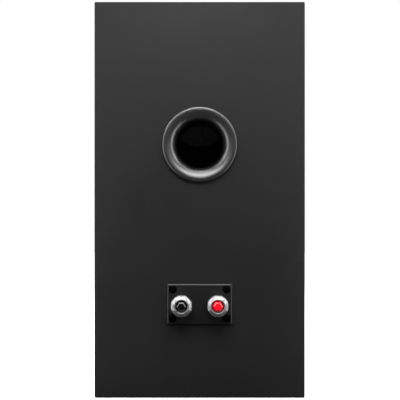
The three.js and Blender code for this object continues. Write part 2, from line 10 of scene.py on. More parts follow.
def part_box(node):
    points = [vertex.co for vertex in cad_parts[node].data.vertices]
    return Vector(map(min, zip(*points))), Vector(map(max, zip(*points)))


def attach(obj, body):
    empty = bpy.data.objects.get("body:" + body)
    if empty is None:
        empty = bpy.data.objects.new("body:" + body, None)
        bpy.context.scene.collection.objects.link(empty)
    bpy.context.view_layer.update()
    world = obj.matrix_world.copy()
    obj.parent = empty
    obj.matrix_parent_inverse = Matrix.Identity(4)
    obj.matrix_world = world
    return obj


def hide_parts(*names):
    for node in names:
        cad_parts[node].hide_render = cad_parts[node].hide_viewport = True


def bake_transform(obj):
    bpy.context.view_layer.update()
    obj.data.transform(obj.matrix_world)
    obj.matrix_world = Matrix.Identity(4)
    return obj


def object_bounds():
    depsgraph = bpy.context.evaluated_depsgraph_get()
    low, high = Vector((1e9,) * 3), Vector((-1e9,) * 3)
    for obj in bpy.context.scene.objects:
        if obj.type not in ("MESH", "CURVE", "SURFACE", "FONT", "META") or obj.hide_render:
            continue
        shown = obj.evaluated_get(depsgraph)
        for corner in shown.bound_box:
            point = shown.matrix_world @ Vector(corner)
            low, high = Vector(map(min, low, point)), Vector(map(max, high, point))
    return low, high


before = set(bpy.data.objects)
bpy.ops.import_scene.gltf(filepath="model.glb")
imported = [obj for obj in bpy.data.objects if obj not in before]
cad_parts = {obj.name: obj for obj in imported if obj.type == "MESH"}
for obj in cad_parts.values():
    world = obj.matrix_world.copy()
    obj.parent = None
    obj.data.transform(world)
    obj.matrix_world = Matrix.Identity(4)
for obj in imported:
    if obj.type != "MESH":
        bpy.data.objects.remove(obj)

CAD_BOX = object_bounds()
MM = 0.001
TAU = 2 * math.pi


# ============================================================ the room around
scene = bpy.context.scene
scene.view_settings.view_transform = "Standard"
scene.view_settings.look = "None"
scene.view_settings.exposure = 0.0
scene.view_settings.gamma = 1.0

# The rear panel stands 1.5 m from the lens, which is level with its middle.
low, high = CAD_BOX
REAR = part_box("back_board")[1].y
camera_data = bpy.data.cameras.new("camera")
camera_data.sensor_width = 36.0
camera_data.lens = 159.6
camera_data.clip_start = 0.05
camera_data.clip_end = 60.0
camera = bpy.data.objects.new("camera", camera_data)
camera.location = (-0.00028, REAR + 1.5, (low.z + high.z) / 2 - 0.0001)
camera.rotation_euler = (math.radians(90), 0, math.radians(180))
scene.collection.objects.link(camera)
scene.camera = camera


def area_light(name, location, target, size_x, size_y, radiance, colour=(1, 1, 1)):
    """A soft box: its strength is given as the brightness of its face."""
    data = bpy.data.lights.new(name, "AREA")
    data.shape = "RECTANGLE"
    data.size, data.size_y = size_x, size_y
    data.energy = radiance * math.pi * size_x * size_y
    data.color = colour
    light = bpy.data.objects.new(name, data)
    light.location = location
    light.rotation_euler = (Vector(target) - Vector(location)).to_track_quat("-Z", "Y").to_euler()
    light.visible_camera = False
    scene.collection.objects.link(light)
    return light


area_light("overhead_box", (0.0, 0.50, 0.68), (0.0, 0.10, 0.56), 0.56, 0.54, 7.0)
area_light("front_top_box", (0.0, 1.00, 0.90), (0.0, 0.10, 0.20), 0.90, 0.50, 2.9)
area_light("side_strip_left", (0.62, 0.16, 0.30), (0.0, 0.10, 0.20), 0.05, 0.60, 4)
area_light("side_strip_right", (-0.62, 0.16, 0.30), (0.0, 0.10, 0.20), 0.05, 0.60, 4)
area_light("quarter_box_left", (0.72, 0.90, 0.52), (0.0, 0.10, 0.20), 0.45, 0.70, 0.9)
area_light("quarter_box_right", (-0.72, 0.90, 0.52), (0.0, 0.10, 0.20), 0.45, 0.70, 0.9)
area_light("upper_strip_left", (0.46, 0.15, 0.62), (0.0, 0.10, 0.20), 0.05, 0.40, 16.5)
area_light("upper_strip_right", (-0.46, 0.15, 0.62), (0.0, 0.10, 0.20), 0.05, 0.40, 16.5)
area_light("top_strip", (0.0, 0.17, 0.80), (0.0, 0.10, 0.20), 0.50, 0.05, 20.0)
for side, tag in ((-1, "left"), (1, "right")):
    area_light("near_strip_" + tag, (side * 0.205, 0.16, 0.17), (side * 0.07, 0.096, 0.17), 0.03, 0.36, 9.6)
# the side of the grille
area_light("front_box", (-0.75, -1.25, 0.95), (0.0, -0.10, 0.17), 0.9, 0.9, 6.0)
area_light("front_fill", (0.95, -1.00, 0.55), (0.0, -0.10, 0.15), 0.7, 0.9, 3.0)
area_light("top_box", (0.0, -0.25, 1.30), (0.0, -0.02, 0.33), 0.8, 0.8, 3.0)

world = bpy.data.worlds.new("studio")
scene.world = world
world.use_nodes = True
wt = world.node_tree
wt.nodes.clear()
w_out = wt.nodes.new("ShaderNodeOutputWorld")
w_mix = wt.nodes.new("ShaderNodeMixShader")
w_path = wt.nodes.new("ShaderNodeLightPath")
w_dim = wt.nodes.new("ShaderNodeBackground")
w_white = wt.nodes.new("ShaderNodeBackground")
w_white.inputs["Color"].default_value = (1, 1, 1, 1)
w_white.inputs["Strength"].default_value = 1.0
w_coord = wt.nodes.new("ShaderNodeTexCoord")
w_split = wt.nodes.new("ShaderNodeSeparateXYZ")
w_ramp = wt.nodes.new("ShaderNodeValToRGB")
w_ramp.color_ramp.elements[0].position = 0.0
w_ramp.color_ramp.elements[0].color = (0.17, 0.17, 0.17, 1)
w_ramp.color_ramp.elements[1].position = 1.0
w_ramp.color_ramp.elements[1].color = (0.45, 0.45, 0.45, 1)
for stop, level in ((0.40, 0.17), (0.48, 0.02), (0.60, 0.02), (0.70, 0.45)):
    w_stop = w_ramp.color_ramp.elements.new(stop)
    w_stop.color = (level, level, level, 1)
w_shift = wt.nodes.new("ShaderNodeMath")
w_shift.operation = "MULTIPLY_ADD"
w_shift.inputs[1].default_value = 0.5
w_shift.inputs[2].default_value = 0.5
wt.links.new(w_coord.outputs["Generated"], w_split.inputs[0])
wt.links.new(w_split.outputs["Z"], w_shift.inputs[0])
wt.links.new(w_shift.outputs[0], w_ramp.inputs[0])
wt.links.new(w_ramp.outputs["Color"], w_dim.inputs["Color"])
wt.links.new(w_path.outputs["Is Camera Ray"], w_mix.inputs[0])
wt.links.new(w_dim.outputs[0], w_mix.inputs[1])
wt.links.new(w_white.outputs[0], w_mix.inputs[2])
wt.links.new(w_mix.outputs[0], w_out.inputs[0])


# ================================================================== materials
class Nodes:
    """A small helper for building a node material on one principled shader."""

    def __init__(self, name, **sockets):
        self.mat = bpy.data.materials.new(name)
        self.mat.use_nodes = True
        self.tree = self.mat.node_tree
        self.shader = self.tree.nodes["Principled BSDF"]
        for key, value in sockets.items():
            self.shader.inputs[key.replace("_", " ")].default_value = value
        coords = self.tree.nodes.new("ShaderNodeTexCoord")
        self.object = coords.outputs["Object"]

    def node(self, kind, **values):
        n = self.tree.nodes.new(kind)
        for key, value in values.items():
            setattr(n, key, value)
        return n

    def link(self, a, b):
        self.tree.links.new(a, b)

    def stretch(self, sx, sy, sz, source=None):
        n = self.node("ShaderNodeMapping")
        n.inputs["Scale"].default_value = (sx, sy, sz)
        self.link(source or self.object, n.inputs["Vector"])
        return n.outputs["Vector"]

    def noise(self, scale, detail=3.0, rough=0.5, vector=None, distortion=0.0):
        n = self.node("ShaderNodeTexNoise")
        n.inputs["Scale"].default_value = scale
        n.inputs["Detail"].default_value = detail
        n.inputs["Roughness"].default_value = rough
        n.inputs["Distortion"].default_value = distortion
        self.link(vector or self.object, n.inputs["Vector"])
        return n.outputs["Fac"]

    def cells(self, scale, vector=None, feature="F1", output="Distance"):
        n = self.node("ShaderNodeTexVoronoi", feature=feature)
        n.inputs["Scale"].default_value = scale
        self.link(vector or self.object, n.inputs["Vector"])
        return n.outputs[output]

    def wave(self, scale, direction="X", vector=None, distortion=0.0, bands="BANDS"):
        n = self.node("ShaderNodeTexWave", wave_type=bands, wave_profile="SIN")
        if bands == "BANDS":
            n.bands_direction = direction
        else:
            n.rings_direction = direction
        n.inputs["Scale"].default_value = scale
        n.inputs["Distortion"].default_value = distortion
        self.link(vector or self.object, n.inputs["Vector"])
        return n.outputs["Fac"]

    def map(self, value, lo, hi, from_lo=0.0, from_hi=1.0):
        n = self.node("ShaderNodeMapRange")
        n.inputs["From Min"].default_value = from_lo
        n.inputs["From Max"].default_value = from_hi
        n.inputs["To Min"].default_value = lo
        n.inputs["To Max"].default_value = hi
        self.link(value, n.inputs["Value"])
        return n.outputs["Result"]

    def math(self, operation, a, b=None):
        n = self.node("ShaderNodeMath", operation=operation)
        for i, v in enumerate((a, b)):
            if v is None:
                continue
            if isinstance(v, (int, float)):
                n.inputs[i].default_value = v
            else:
                self.link(v, n.inputs[i])
        return n.outputs[0]

    def colours(self, value, *stops):
        n = self.node("ShaderNodeValToRGB")
        ramp = n.color_ramp
        while len(ramp.elements) < len(stops):
            ramp.elements.new(0.5)
        for e, (position, colour) in zip(ramp.elements, stops):
            e.position = position
            e.color = (*colour, 1) if len(colour) == 3 else colour
        self.link(value, n.inputs["Fac"])
        return n.outputs["Color"]

    def base(self, colour):
        self.link(colour, self.shader.inputs["Base Color"])

    def rough(self, value):
        self.link(value, self.shader.inputs["Roughness"])

    def bump(self, height, distance, strength=1.0, after=None):
        n = self.node("ShaderNodeBump")
        n.inputs["Strength"].default_value = strength
        n.inputs["Distance"].default_value = distance
        self.link(height, n.inputs["Height"])
        if after is not None:
            self.link(after, n.inputs["Normal"])
        self.link(n.outputs["Normal"], self.shader.inputs["Normal"])
        return n.outputs["Normal"]


def grey(v):
    return (v, v, v)


def vinyl(name, stretch, tone=0.0026):
    """Black vinyl wrap: a pebbled skin over a faint ash grain."""
    m = Nodes(name, Specular_IOR_Level=0.25)
    grain = m.noise(1.0, 4, 0.62, m.stretch(*stretch), 0.4)
    pores = m.cells(1900)
    cloud = m.noise(9, 3, 0.6)
    tint = m.math("ADD", m.math("MULTIPLY", grain, 0.55), m.math("MULTIPLY", cloud, 0.45))
    m.base(m.colours(tint, (0.30, (tone * 0.70, tone * 0.70, tone * 0.72)), (0.72, (tone * 1.30, tone * 1.30, tone * 1.33))))
    m.rough(m.map(m.math("ADD", grain, cloud), 0.47, 0.65, 0.7, 1.3))
    skin = m.bump(pores, 0.00003, 0.35)
    m.bump(grain, 0.00005, 0.35, skin)
    return m.mat


def moulded(name, tone, roughness, texture=2600, depth=0.000015, spread=0.05, spec=0.5, colour=None):
    """Injection-moulded plastic with a spark-eroded skin and a little handling shine."""
    m = Nodes(name, Specular_IOR_Level=spec)
    c = colour or (tone, tone, tone * 1.02)
    cloud = m.noise(38, 4, 0.6)
    m.base(m.colours(cloud, (0.3, tuple(x * 0.9 for x in c)), (0.7, tuple(min(1.0, x * 1.1) for x in c))))
    m.rough(m.map(m.noise(160, 4, 0.65), roughness - spread, roughness + spread, 0.3, 0.7))
    m.bump(m.noise(texture, 2, 0.5), depth, 0.5)
    return m.mat


def metal(name, colour, roughness, brush=None, spread=0.06, worn=0.15, scratch=900):
    """Plated metal: fine turning or handling marks, and slightly duller patches."""
    m = Nodes(name, Metallic=1.0)
    patches = m.noise(240, 5, 0.65)
    m.base(m.colours(patches, (0.32, tuple(x * (1 - worn) for x in colour)), (0.62, colour)))
    marks = m.noise(1.0, 3, 0.6, m.stretch(*(brush or (scratch, scratch, scratch))))
    m.rough(m.map(m.math("ADD", marks, patches), roughness - spread, roughness + spread, 0.7, 1.3))
    m.bump(marks, 0.000006, 0.35)
    return m.mat


MAT = {}
MAT["cabinet_vinyl"] = vinyl("cabinet_vinyl", (950, 950, 26))
MAT["cabinet_vinyl_across"] = vinyl("cabinet_vinyl_across", (26, 950, 950))
MAT["baffle_vinyl"] = vinyl("baffle_vinyl", (950, 950, 26), 0.0030)
MAT["port_plastic"] = moulded("port_plastic", 0.0025, 0.33, texture=3200, depth=0.0000006, spread=0.008, spec=1.0)
# The lip's copy of the port plastic is about six times lighter than the rest: a painted highlight on the flange's outer
# fillet.
MAT["port_lip_painted_highlight"] = moulded("port_lip_painted_highlight", 0.016, 0.33, texture=3200, depth=0.0000006, spread=0.008, spec=1.0)
MAT["plate_plastic"] = moulded("plate_plastic", 0.003, 0.36, texture=2100, depth=0.000012, spec=0.42)
MAT["faceplate_plastic"] = moulded("faceplate_plastic", 0.018, 0.42, texture=2300, depth=0.00002)
MAT["trim_plastic"] = moulded("trim_plastic", 0.016, 0.33, texture=2600, depth=0.00001)
MAT["grille_plastic"] = moulded("grille_plastic", 0.024, 0.52, texture=1500, depth=0.00003)
MAT["cap_black"] = moulded("cap_black", 0.001, 0.13, texture=3800, depth=0.000003, spread=0.03, spec=0.9)
MAT["cap_red"] = moulded("cap_red", 0.0, 0.20, texture=3800, depth=0.000003, spread=0.04, spec=0.9, colour=(0.86, 0.002, 0.014))
MAT["sleeve"] = moulded("capacitor_sleeve", 0.02, 0.24, texture=2600, depth=0.000008, colour=(0.018, 0.022, 0.034))
MAT["wire_black"] = moulded("wire_black", 0.016, 0.42, texture=2500, depth=0.00001)
MAT["wire_red"] = moulded("wire_red", 0.0, 0.40, texture=2500, depth=0.00001, colour=(0.42, 0.008, 0.012))
MAT["wire_grey"] = moulded("wire_grey", 0.0, 0.45, texture=2500, depth=0.00001, colour=(0.14, 0.15, 0.16))
MAT["rubber"] = moulded("surround_rubber", 0.013, 0.55, texture=1700, depth=0.00002, spread=0.08, spec=0.4)

MAT["knob_chrome"] = metal("knob_chrome", (0.37, 0.373, 0.377), 0.45, spread=0.05, worn=0.06, scratch=1400)
MAT["nickel"] = metal("nickel", (0.70, 0.67, 0.62), 0.28, worn=0.12)
MAT["zinc_steel"] = metal("zinc_steel", (0.60, 0.61, 0.60), 0.36, spread=0.10, worn=0.28, scratch=420)
MAT["black_steel"] = metal("black_steel", (0.055, 0.055, 0.058), 0.42, spread=0.10, worn=0.35, scratch=700)
# Dull steel darkened to 0.16 so that the cabinet's inside, seen through the port, stays dark: painted shade.
MAT["yoke_steel_painted_shade"] = metal("yoke_steel_painted_shade", (0.16, 0.162, 0.165), 0.46, spread=0.10, worn=0.35, scratch=420)
# Near-black plastic with almost no specular for the plate's screws and the plate's hole walls: black screws, darkened
# further as painted shade in the counterbores.
MAT["black_screw_painted_shade"] = moulded("black_screw_painted_shade", 0.0006, 0.60, texture=3000, depth=0.000008, spread=0.08, spec=0.03)
MAT["coil_wire"] = metal("coil_wire", (0.62, 0.26, 0.11), 0.30, spread=0.08, worn=0.3, scratch=600)


def special(name, build, **sockets):
    m = Nodes(name, **sockets)
    build(m)
    return m.mat


def _mdf(m):
    fibre = m.noise(1.0, 5, 0.7, m.stretch(700, 700, 260))
    m.base(m.colours(fibre, (0.30, (0.16, 0.095, 0.048)), (0.52, (0.27, 0.175, 0.096)), (0.75, (0.36, 0.245, 0.145))))
    m.rough(m.map(fibre, 0.78, 0.95))
    m.bump(fibre, 0.00012, 0.6)


def _foam(m):
    cells = m.cells(1500)
    m.base(m.colours(cells, (0.1, grey(0.004)), (0.6, grey(0.03))))
    m.rough(m.map(cells, 0.98, 0.86))
    m.bump(cells, 0.00015, 0.9)


def _wadding(m):
    fibre = m.noise(1.0, 6, 0.72, m.stretch(420, 420, 900), 1.8)
    tuft = m.noise(55, 4, 0.6)
    m.base(m.colours(m.math("ADD", m.math("MULTIPLY", fibre, 0.6), m.math("MULTIPLY", tuft, 0.4)),
                     (0.30, (0.40, 0.39, 0.35)), (0.70, (0.66, 0.65, 0.60))))
    m.rough(m.map(fibre, 0.9, 1.0))
    m.bump(fibre, 0.0006, 0.8)


def _hardboard(m):
    fibre = m.noise(1.0, 5, 0.7, m.stretch(520, 520, 520), 1.0)
    m.base(m.colours(fibre, (0.3, (0.075, 0.038, 0.018)), (0.7, (0.16, 0.088, 0.045))))
    m.rough(m.map(fibre, 0.62, 0.85))
    m.bump(fibre, 0.00008, 0.5)


def _ferrite(m):
    grain = m.noise(1700, 4, 0.7)
    m.base(m.colours(grain, (0.3, grey(0.022)), (0.7, grey(0.048))))
    m.rough(m.map(m.noise(90, 4, 0.6), 0.55, 0.80, 0.3, 0.7))
    m.bump(grain, 0.00004, 0.5)


def _cone(m):
    fibre = m.noise(1.0, 6, 0.75, m.stretch(650, 650, 650), 2.6)
    m.base(m.colours(fibre, (0.32, grey(0.010)), (0.60, grey(0.026)), (0.80, (0.06, 0.058, 0.052))))
    m.rough(m.map(fibre, 0.62, 0.86, 0.3, 0.7))
    m.bump(fibre, 0.00008, 0.6)


def _dust_cap(m):
    fibre = m.noise(1.0, 5, 0.7, m.stretch(900, 900, 900), 1.4)
    m.base(m.colours(fibre, (0.3, grey(0.009)), (0.7, grey(0.021))))
    m.rough(m.map(fibre, 0.36, 0.52, 0.3, 0.7))
    m.bump(fibre, 0.00003, 0.5)


def _weave(m, pitch, plane, depth):
    """Crossed threads: two sets of ribs that pass over and under each other."""
    split = m.node("ShaderNodeSeparateXYZ")
    m.link(m.object, split.inputs[0])
    u, v = (split.outputs[k] for k in plane)
    k = TAU / pitch
    su = m.math("SINE", m.math("MULTIPLY", u, k / 2))
    sv = m.math("SINE", m.math("MULTIPLY", v, k / 2))
    over = m.math("MULTIPLY", su, sv)
    ru = m.math("ABSOLUTE", m.math("SINE", m.math("MULTIPLY", u, k)))
    rv = m.math("ABSOLUTE", m.math("SINE", m.math("MULTIPLY", v, k)))
    warp = m.math("MULTIPLY", ru, m.map(over, 0.35, 1.0, -1.0, 1.0))
    weft = m.math("MULTIPLY", rv, m.map(over, 1.0, 0.35, -1.0, 1.0))
    height = m.math("MAXIMUM", warp, weft)
    return height


def _spider_cloth(m):
    h = _weave(m, 0.0011, "XZ", 0.0001)
    age = m.noise(60, 4, 0.6)
    m.base(m.colours(m.math("ADD", m.math("MULTIPLY", h, 0.6), m.math("MULTIPLY", age, 0.4)),
                     (0.25, (0.16, 0.085, 0.022)), (0.75, (0.52, 0.33, 0.11))))
    m.rough(m.map(h, 0.95, 0.75))
    m.bump(h, 0.0001, 0.7)


def _dome(m):
    h = _weave(m, 0.0007, "XZ", 0.00005)
    m.base(m.colours(h, (0.2, grey(0.008)), (0.8, grey(0.020))))
    m.rough(m.map(h, 0.62, 0.42))
    m.bump(h, 0.00004, 0.5)


def _former(m):
    wave = m.wave(900, "Y")
    m.base(m.colours(wave, (0.3, (0.22, 0.11, 0.03)), (0.7, (0.36, 0.20, 0.06))))
    m.rough(m.map(m.noise(300, 3), 0.3, 0.5))
    m.bump(wave, 0.00002, 0.3)


def _film(m):
    wrap = m.noise(1.0, 4, 0.6, m.stretch(60, 900, 900))
    m.base(m.colours(wrap, (0.3, (0.50, 0.30, 0.02)), (0.7, (0.66, 0.43, 0.05))))
    m.rough(m.map(wrap, 0.22, 0.38, 0.3, 0.7))
    m.bump(wrap, 0.00003, 0.4)


def _resin(m):
    c = m.noise(400, 4, 0.6)
    m.base(m.colours(c, (0.3, (0.22, 0.13, 0.012)), (0.7, (0.34, 0.21, 0.03))))
    m.rough(m.map(c, 0.2, 0.4))
    m.bump(c, 0.00008, 0.4)


MAT["mdf"] = special("raw_board", _mdf, Specular_IOR_Level=0.25)
MAT["foam"] = special("gasket_foam", _foam, Specular_IOR_Level=0.2)
MAT["wadding"] = special("wadding", _wadding, Specular_IOR_Level=0.1, Sheen_Weight=0.3, Sheen_Roughness=0.6)
MAT["hardboard"] = special("hardboard", _hardboard, Specular_IOR_Level=0.3)
MAT["ferrite"] = special("ferrite", _ferrite)
MAT["cone"] = special("cone_paper", _cone, Specular_IOR_Level=0.35)
MAT["dust_cap"] = special("dust_cap_paper", _dust_cap)
MAT["spider"] = special("spider_cloth", _spider_cloth, Specular_IOR_Level=0.2)
MAT["dome"] = special("dome_silk", _dome, Sheen_Weight=0.15)
MAT["former"] = special("coil_former", _former)
MAT["film"] = special("film_capacitor", _film)
MAT["resin"] = special("resin_end", _resin, Coat_Weight=0.4, Coat_Roughness=0.15)


def _grille_cloth(m):
    # Knit cloth seen from the front and from its four sides: the thread pattern
    # of each face runs in that face's own two directions.
    pitch = 0.00125
    geometry = m.node("ShaderNodeNewGeometry")
    n = m.node("ShaderNodeSeparateXYZ")
    m.link(geometry.outputs["Normal"], n.inputs[0])
    side = m.math("GREATER_THAN", m.math("ABSOLUTE", n.outputs["X"]), 0.7)
    cap = m.math("GREATER_THAN", m.math("ABSOLUTE", n.outputs["Z"]), 0.7)
    split = m.node("ShaderNodeSeparateXYZ")
    m.link(m.object, split.inputs[0])

    def pick(a, b, where):
        return m.math("ADD", m.math("MULTIPLY", a, m.math("SUBTRACT", 1.0, where)), m.math("MULTIPLY", b, where))

    u = pick(split.outputs["X"], split.outputs["Y"], side)
    v = pick(split.outputs["Z"], split.outputs["Y"], cap)
    k = TAU / pitch
    su = m.math("SINE", m.math("MULTIPLY", u, k / 2))
    sv = m.math("SINE", m.math("MULTIPLY", v, k / 2))
    over = m.math("MULTIPLY", su, sv)
    ru = m.math("ABSOLUTE", m.math("SINE", m.math("MULTIPLY", u, k)))
    rv = m.math("ABSOLUTE", m.math("SINE", m.math("MULTIPLY", v, k)))
    h = m.math("MAXIMUM", m.math("MULTIPLY", ru, m.map(over, 0.3, 1.0, -1.0, 1.0)), m.math("MULTIPLY", rv, m.map(over, 1.0, 0.3, -1.0, 1.0)))
    slub = m.noise(1.0, 3, 0.6, m.stretch(24, 500, 500))
    fleck = m.noise(1.0, 4, 0.7, m.stretch(420, 420, 420))
    tint = m.math("ADD", m.math("MULTIPLY", h, 0.45), m.math("ADD", m.math("MULTIPLY", slub, 0.25), m.math("MULTIPLY", fleck, 0.30)))
    m.base(m.colours(tint, (0.15, grey(0.002)), (0.55, grey(0.016)), (0.9, grey(0.045))))
    m.rough(m.map(h, 1.0, 0.78))
    m.bump(h, 0.00022, 0.8)


MAT["grille_cloth"] = special("grille_cloth", _grille_cloth, Specular_IOR_Level=0.25, Sheen_Weight=0.25, Sheen_Roughness=0.45)


def _floor(m):
    speck = m.noise(60, 3, 0.5)
    m.base(m.colours(speck, (0.3, grey(0.86)), (0.7, grey(0.9))))
    m.rough(m.map(speck, 0.6, 0.8))
    m.shader.inputs["Emission Color"].default_value = (1, 1, 1, 1)
    m.shader.inputs["Emission Strength"].default_value = 1.0


MAT["floor"] = special("floor", _floor, Specular_IOR_Level=0.0)


# =============================================================== mesh building
def rounded(points, radius=0.0, n=4, closed=True):
    """2D corners turned into arcs. A point may carry its own radius as a third value."""
    out = []
    count = len(points)
    for i, p in enumerate(points):
        r = p[2] if len(p) > 2 else radius
        if r <= 0 or (not closed and i in (0, count - 1)):
            out.append((p[0], p[1]))
            continue
        a = Vector(points[i - 1][:2]) - Vector(p[:2])
        b = Vector(points[(i + 1) % count][:2]) - Vector(p[:2])
        if a.length < 1e-9 or b.length < 1e-9:
            out.append((p[0], p[1]))
            continue
        la, lb = a.length, b.length
        a.normalize()
        b.normalize()
        angle = math.acos(max(-1, min(1, a.dot(b))))
        if angle > math.pi - 0.02:
            out.append((p[0], p[1]))
            continue
        back = min(r / math.tan(angle / 2), 0.49 * la, 0.49 * lb)
        r = back * math.tan(angle / 2)
        start, end = Vector(p[:2]) + a * back, Vector(p[:2]) + b * back
        middle = Vector(p[:2]) + (a + b).normalized() * (r / math.sin(angle / 2))
        t0 = math.atan2(start.y - middle.y, start.x - middle.x)
        t1 = math.atan2(end.y - middle.y, end.x - middle.x)
        d = (t1 - t0 + math.pi) % TAU - math.pi
        for k in range(n + 1):
            t = t0 + d * k / n
            out.append((middle.x + r * math.cos(t), middle.y + r * math.sin(t)))
    return out


def rect(x0, x1, z0, z1, r=0.0, n=4, inset=0.0):
    x0, x1, z0, z1, r = x0 + inset, x1 - inset, z0 + inset, z1 - inset, max(r - inset, 0.05) if r else 0.0
    return rounded([(x0, z0), (x1, z0), (x1, z1), (x0, z1)], r, n)


def ring(cx, cz, r, n=64, turn=0.0):
    return [(cx + r * math.cos(TAU * i / n + turn), cz + r * math.sin(TAU * i / n + turn)) for i in range(n)]


def slot_outline(cx, cz, w, h, grow=0.0, n=12):
    w, h = w + 2 * grow, h + 2 * grow
    r = h / 2
    out = []
    for s, a0 in ((1, -math.pi / 2), (-1, math.pi / 2)):
        for i in range(n + 1):
            a = a0 + math.pi * i / n
            out.append((cx + s * (w / 2 - r) + r * math.cos(a), cz + r * math.sin(a)))
    return out


class Build:
    """Collects vertices and faces in millimetres, then makes the object."""

    def __init__(self):
        self.v, self.f, self.m = [], [], []

    def vertex(self, x, y, z):
        self.v.append((x, y, z))
        return len(self.v) - 1

    def loop(self, points, y):
        return [self.vertex(x, y, z) for x, z in points]

    def face(self, ids, mat=0):
        if len(set(ids)) >= 3:
            self.f.append(list(ids))
            self.m.append(mat)

    def strip(self, a, b, mat=0):
        n = len(a)
        for i in range(n):
            j = (i + 1) % n
            self.face((a[i], a[j], b[j], b[i]), mat)

    def fan(self, loop, point, mat=0):
        for i in range(len(loop)):
            self.face((loop[i], loop[(i + 1) % len(loop)], point), mat)

    def cover(self, loops, mat=0):
        """Fills the area between an outer loop and its holes, all in one plane."""
        flat = [i for l in loops for i in l]
        shapes = [[Vector((self.v[i][0], self.v[i][2], 0)) for i in l] for l in loops]
        for tri in tessellate_polygon(shapes):
            self.face([flat[i] for i in tri], mat)

    def prism(self, outer, holes=(), pits=(), mat=0, wall=None, low_mat=None, high_mat=None, hole_mat=None, pit_mat=None):
        """outer and each hole are lists of (points, y) from low y to high; a pit opens on the low face only."""
        wall = mat if wall is None else wall
        hole_mat = mat if hole_mat is None else hole_mat
        pit_mat = hole_mat if pit_mat is None else pit_mat
        rings = [self.loop(p, y) for p, y in outer]
        for a, b in zip(rings, rings[1:]):
            self.strip(a, b, wall)
        lows, highs = [rings[0]], [rings[-1]]
        for hole in holes:
            hr = [self.loop(p, y) for p, y in hole]
            for a, b in zip(hr, hr[1:]):
                self.strip(a, b, hole_mat)
            lows.append(hr[0])
            highs.append(hr[-1])
        for pit in pits:
            pr = [self.loop(p, y) for p, y in pit]
            for a, b in zip(pr, pr[1:]):
                self.strip(a, b, pit_mat)
            self.face(pr[-1], pit_mat)
            lows.append(pr[0])
        self.cover(lows, mat if low_mat is None else low_mat)
        self.cover(highs, mat if high_mat is None else high_mat)

    def lathe(self, profile, cx=0.0, cz=0.0, n=96, axis="Y", mats=None, mat=0):
        """profile is a closed loop of (radius, along), or starts and ends on the axis."""
        on_axis = profile[0][0] < 1e-6 and profile[-1][0] < 1e-6
        rings = []
        for r, a in profile:
            if r < 1e-6:
                rings.append([self._at(0, 0, a, cx, cz, axis)])
            else:
                rings.append([self._at(r * math.cos(TAU * i / n), r * math.sin(TAU * i / n), a, cx, cz, axis) for i in range(n)])
        pairs = list(zip(rings, rings[1:]))
        if not on_axis:
            pairs.append((rings[-1], rings[0]))
        for k, (a, b) in enumerate(pairs):
            m = mats[k] if mats else mat
            if len(a) == 1 and len(b) == 1:
                continue
            if len(a) == 1:
                self.fan(b, a[0], m)
            elif len(b) == 1:
                self.fan(a, b[0], m)
            else:
                self.strip(a, b, m)

    def _at(self, u, w, along, cx, cz, axis):
        if axis == "Y":
            return self.vertex(cx + u, along, cz + w)
        if axis == "Z":
            return self.vertex(cx + u, cz + w, along)
        return self.vertex(along, cx + u, cz + w)

    def shaped(self, stations, cx, cz, n=96, mat=0):
        """A lathe whose radius is a function of the angle: stations are (radius or function, y).
        The first and last may be 0 to close on the axis; otherwise the loop closes on itself."""
        rings = []
        for r, y in stations:
            if not callable(r) and r < 1e-6:
                rings.append([self.vertex(cx, y, cz)])
                continue
            pts = []
            for i in range(n):
                t = TAU * i / n
                rr = r(t) if callable(r) else r
                pts.append(self.vertex(cx + rr * math.cos(t), y, cz + rr * math.sin(t)))
            rings.append(pts)
        pairs = list(zip(rings, rings[1:]))
        if len(rings[0]) > 1 and len(rings[-1]) > 1:
            pairs.append((rings[-1], rings[0]))
        for a, b in pairs:
            if len(a) == 1:
                self.fan(b, a[0], mat)
            elif len(b) == 1:
                self.fan(a, b[0], mat)
            else:
                self.strip(a, b, mat)

    def sweep(self, points, section, mat=0):
        """A closed tube: the section, a list of (u, w), carried along the points without twist."""
        pts = [Vector(p) for p in points]
        tangents = []
        for i in range(len(pts)):
            a, b = pts[max(0, i - 1)], pts[min(len(pts) - 1, i + 1)]
            tangents.append((b - a).normalized())
        up = Vector((0, 0, 1)) if abs(tangents[0].z) < 0.9 else Vector((1, 0, 0))
        side = tangents[0].cross(up).normalized()
        rings = []
        for p, t in zip(pts, tangents):
            side = (side - t * side.dot(t)).normalized()
            other = t.cross(side)
            rings.append([self.vertex(*(p + side * u + other * w)) for u, w in section])
        for a, b in zip(rings, rings[1:]):
            self.strip(a, b, mat)
        self.face(rings[0], mat)
        self.face(rings[-1], mat)

    def make(self, name, materials, angle=32.0, smooth=True):
        me = bpy.data.meshes.new(name)
        me.from_pydata([(x * MM, y * MM, z * MM) for x, y, z in self.v], [], self.f)
        for material in materials:
            me.materials.append(material)
        me.polygons.foreach_set("material_index", self.m)
        bm = bmesh.new()
        bm.from_mesh(me)
        bmesh.ops.remove_doubles(bm, verts=bm.verts, dist=2e-7)
        bmesh.ops.dissolve_degenerate(bm, edges=bm.edges, dist=1e-8)
        bmesh.ops.recalc_face_normals(bm, faces=bm.faces)
        bm.to_mesh(me)
        bm.free()
        obj = bpy.data.objects.new(name, me)
        scene.collection.objects.link(obj)
        finish_mesh(obj, angle, smooth)
        return obj


def finish_mesh(obj, angle=32.0, smooth=True):
    if smooth:
        obj.data.shade_smooth()
        obj.data.set_sharp_from_angle(angle=math.radians(angle))
    else:
        obj.data.shade_flat()
    obj.data.update()


def apply_modifiers(obj):
    bpy.context.view_layer.update()
    graph = bpy.context.evaluated_depsgraph_get()
    made = bpy.data.meshes.new_from_object(obj.evaluated_get(graph))
    obj.modifiers.clear()
    old = obj.data
    obj.data = made
    made.name = old.name
    bpy.data.meshes.remove(old)


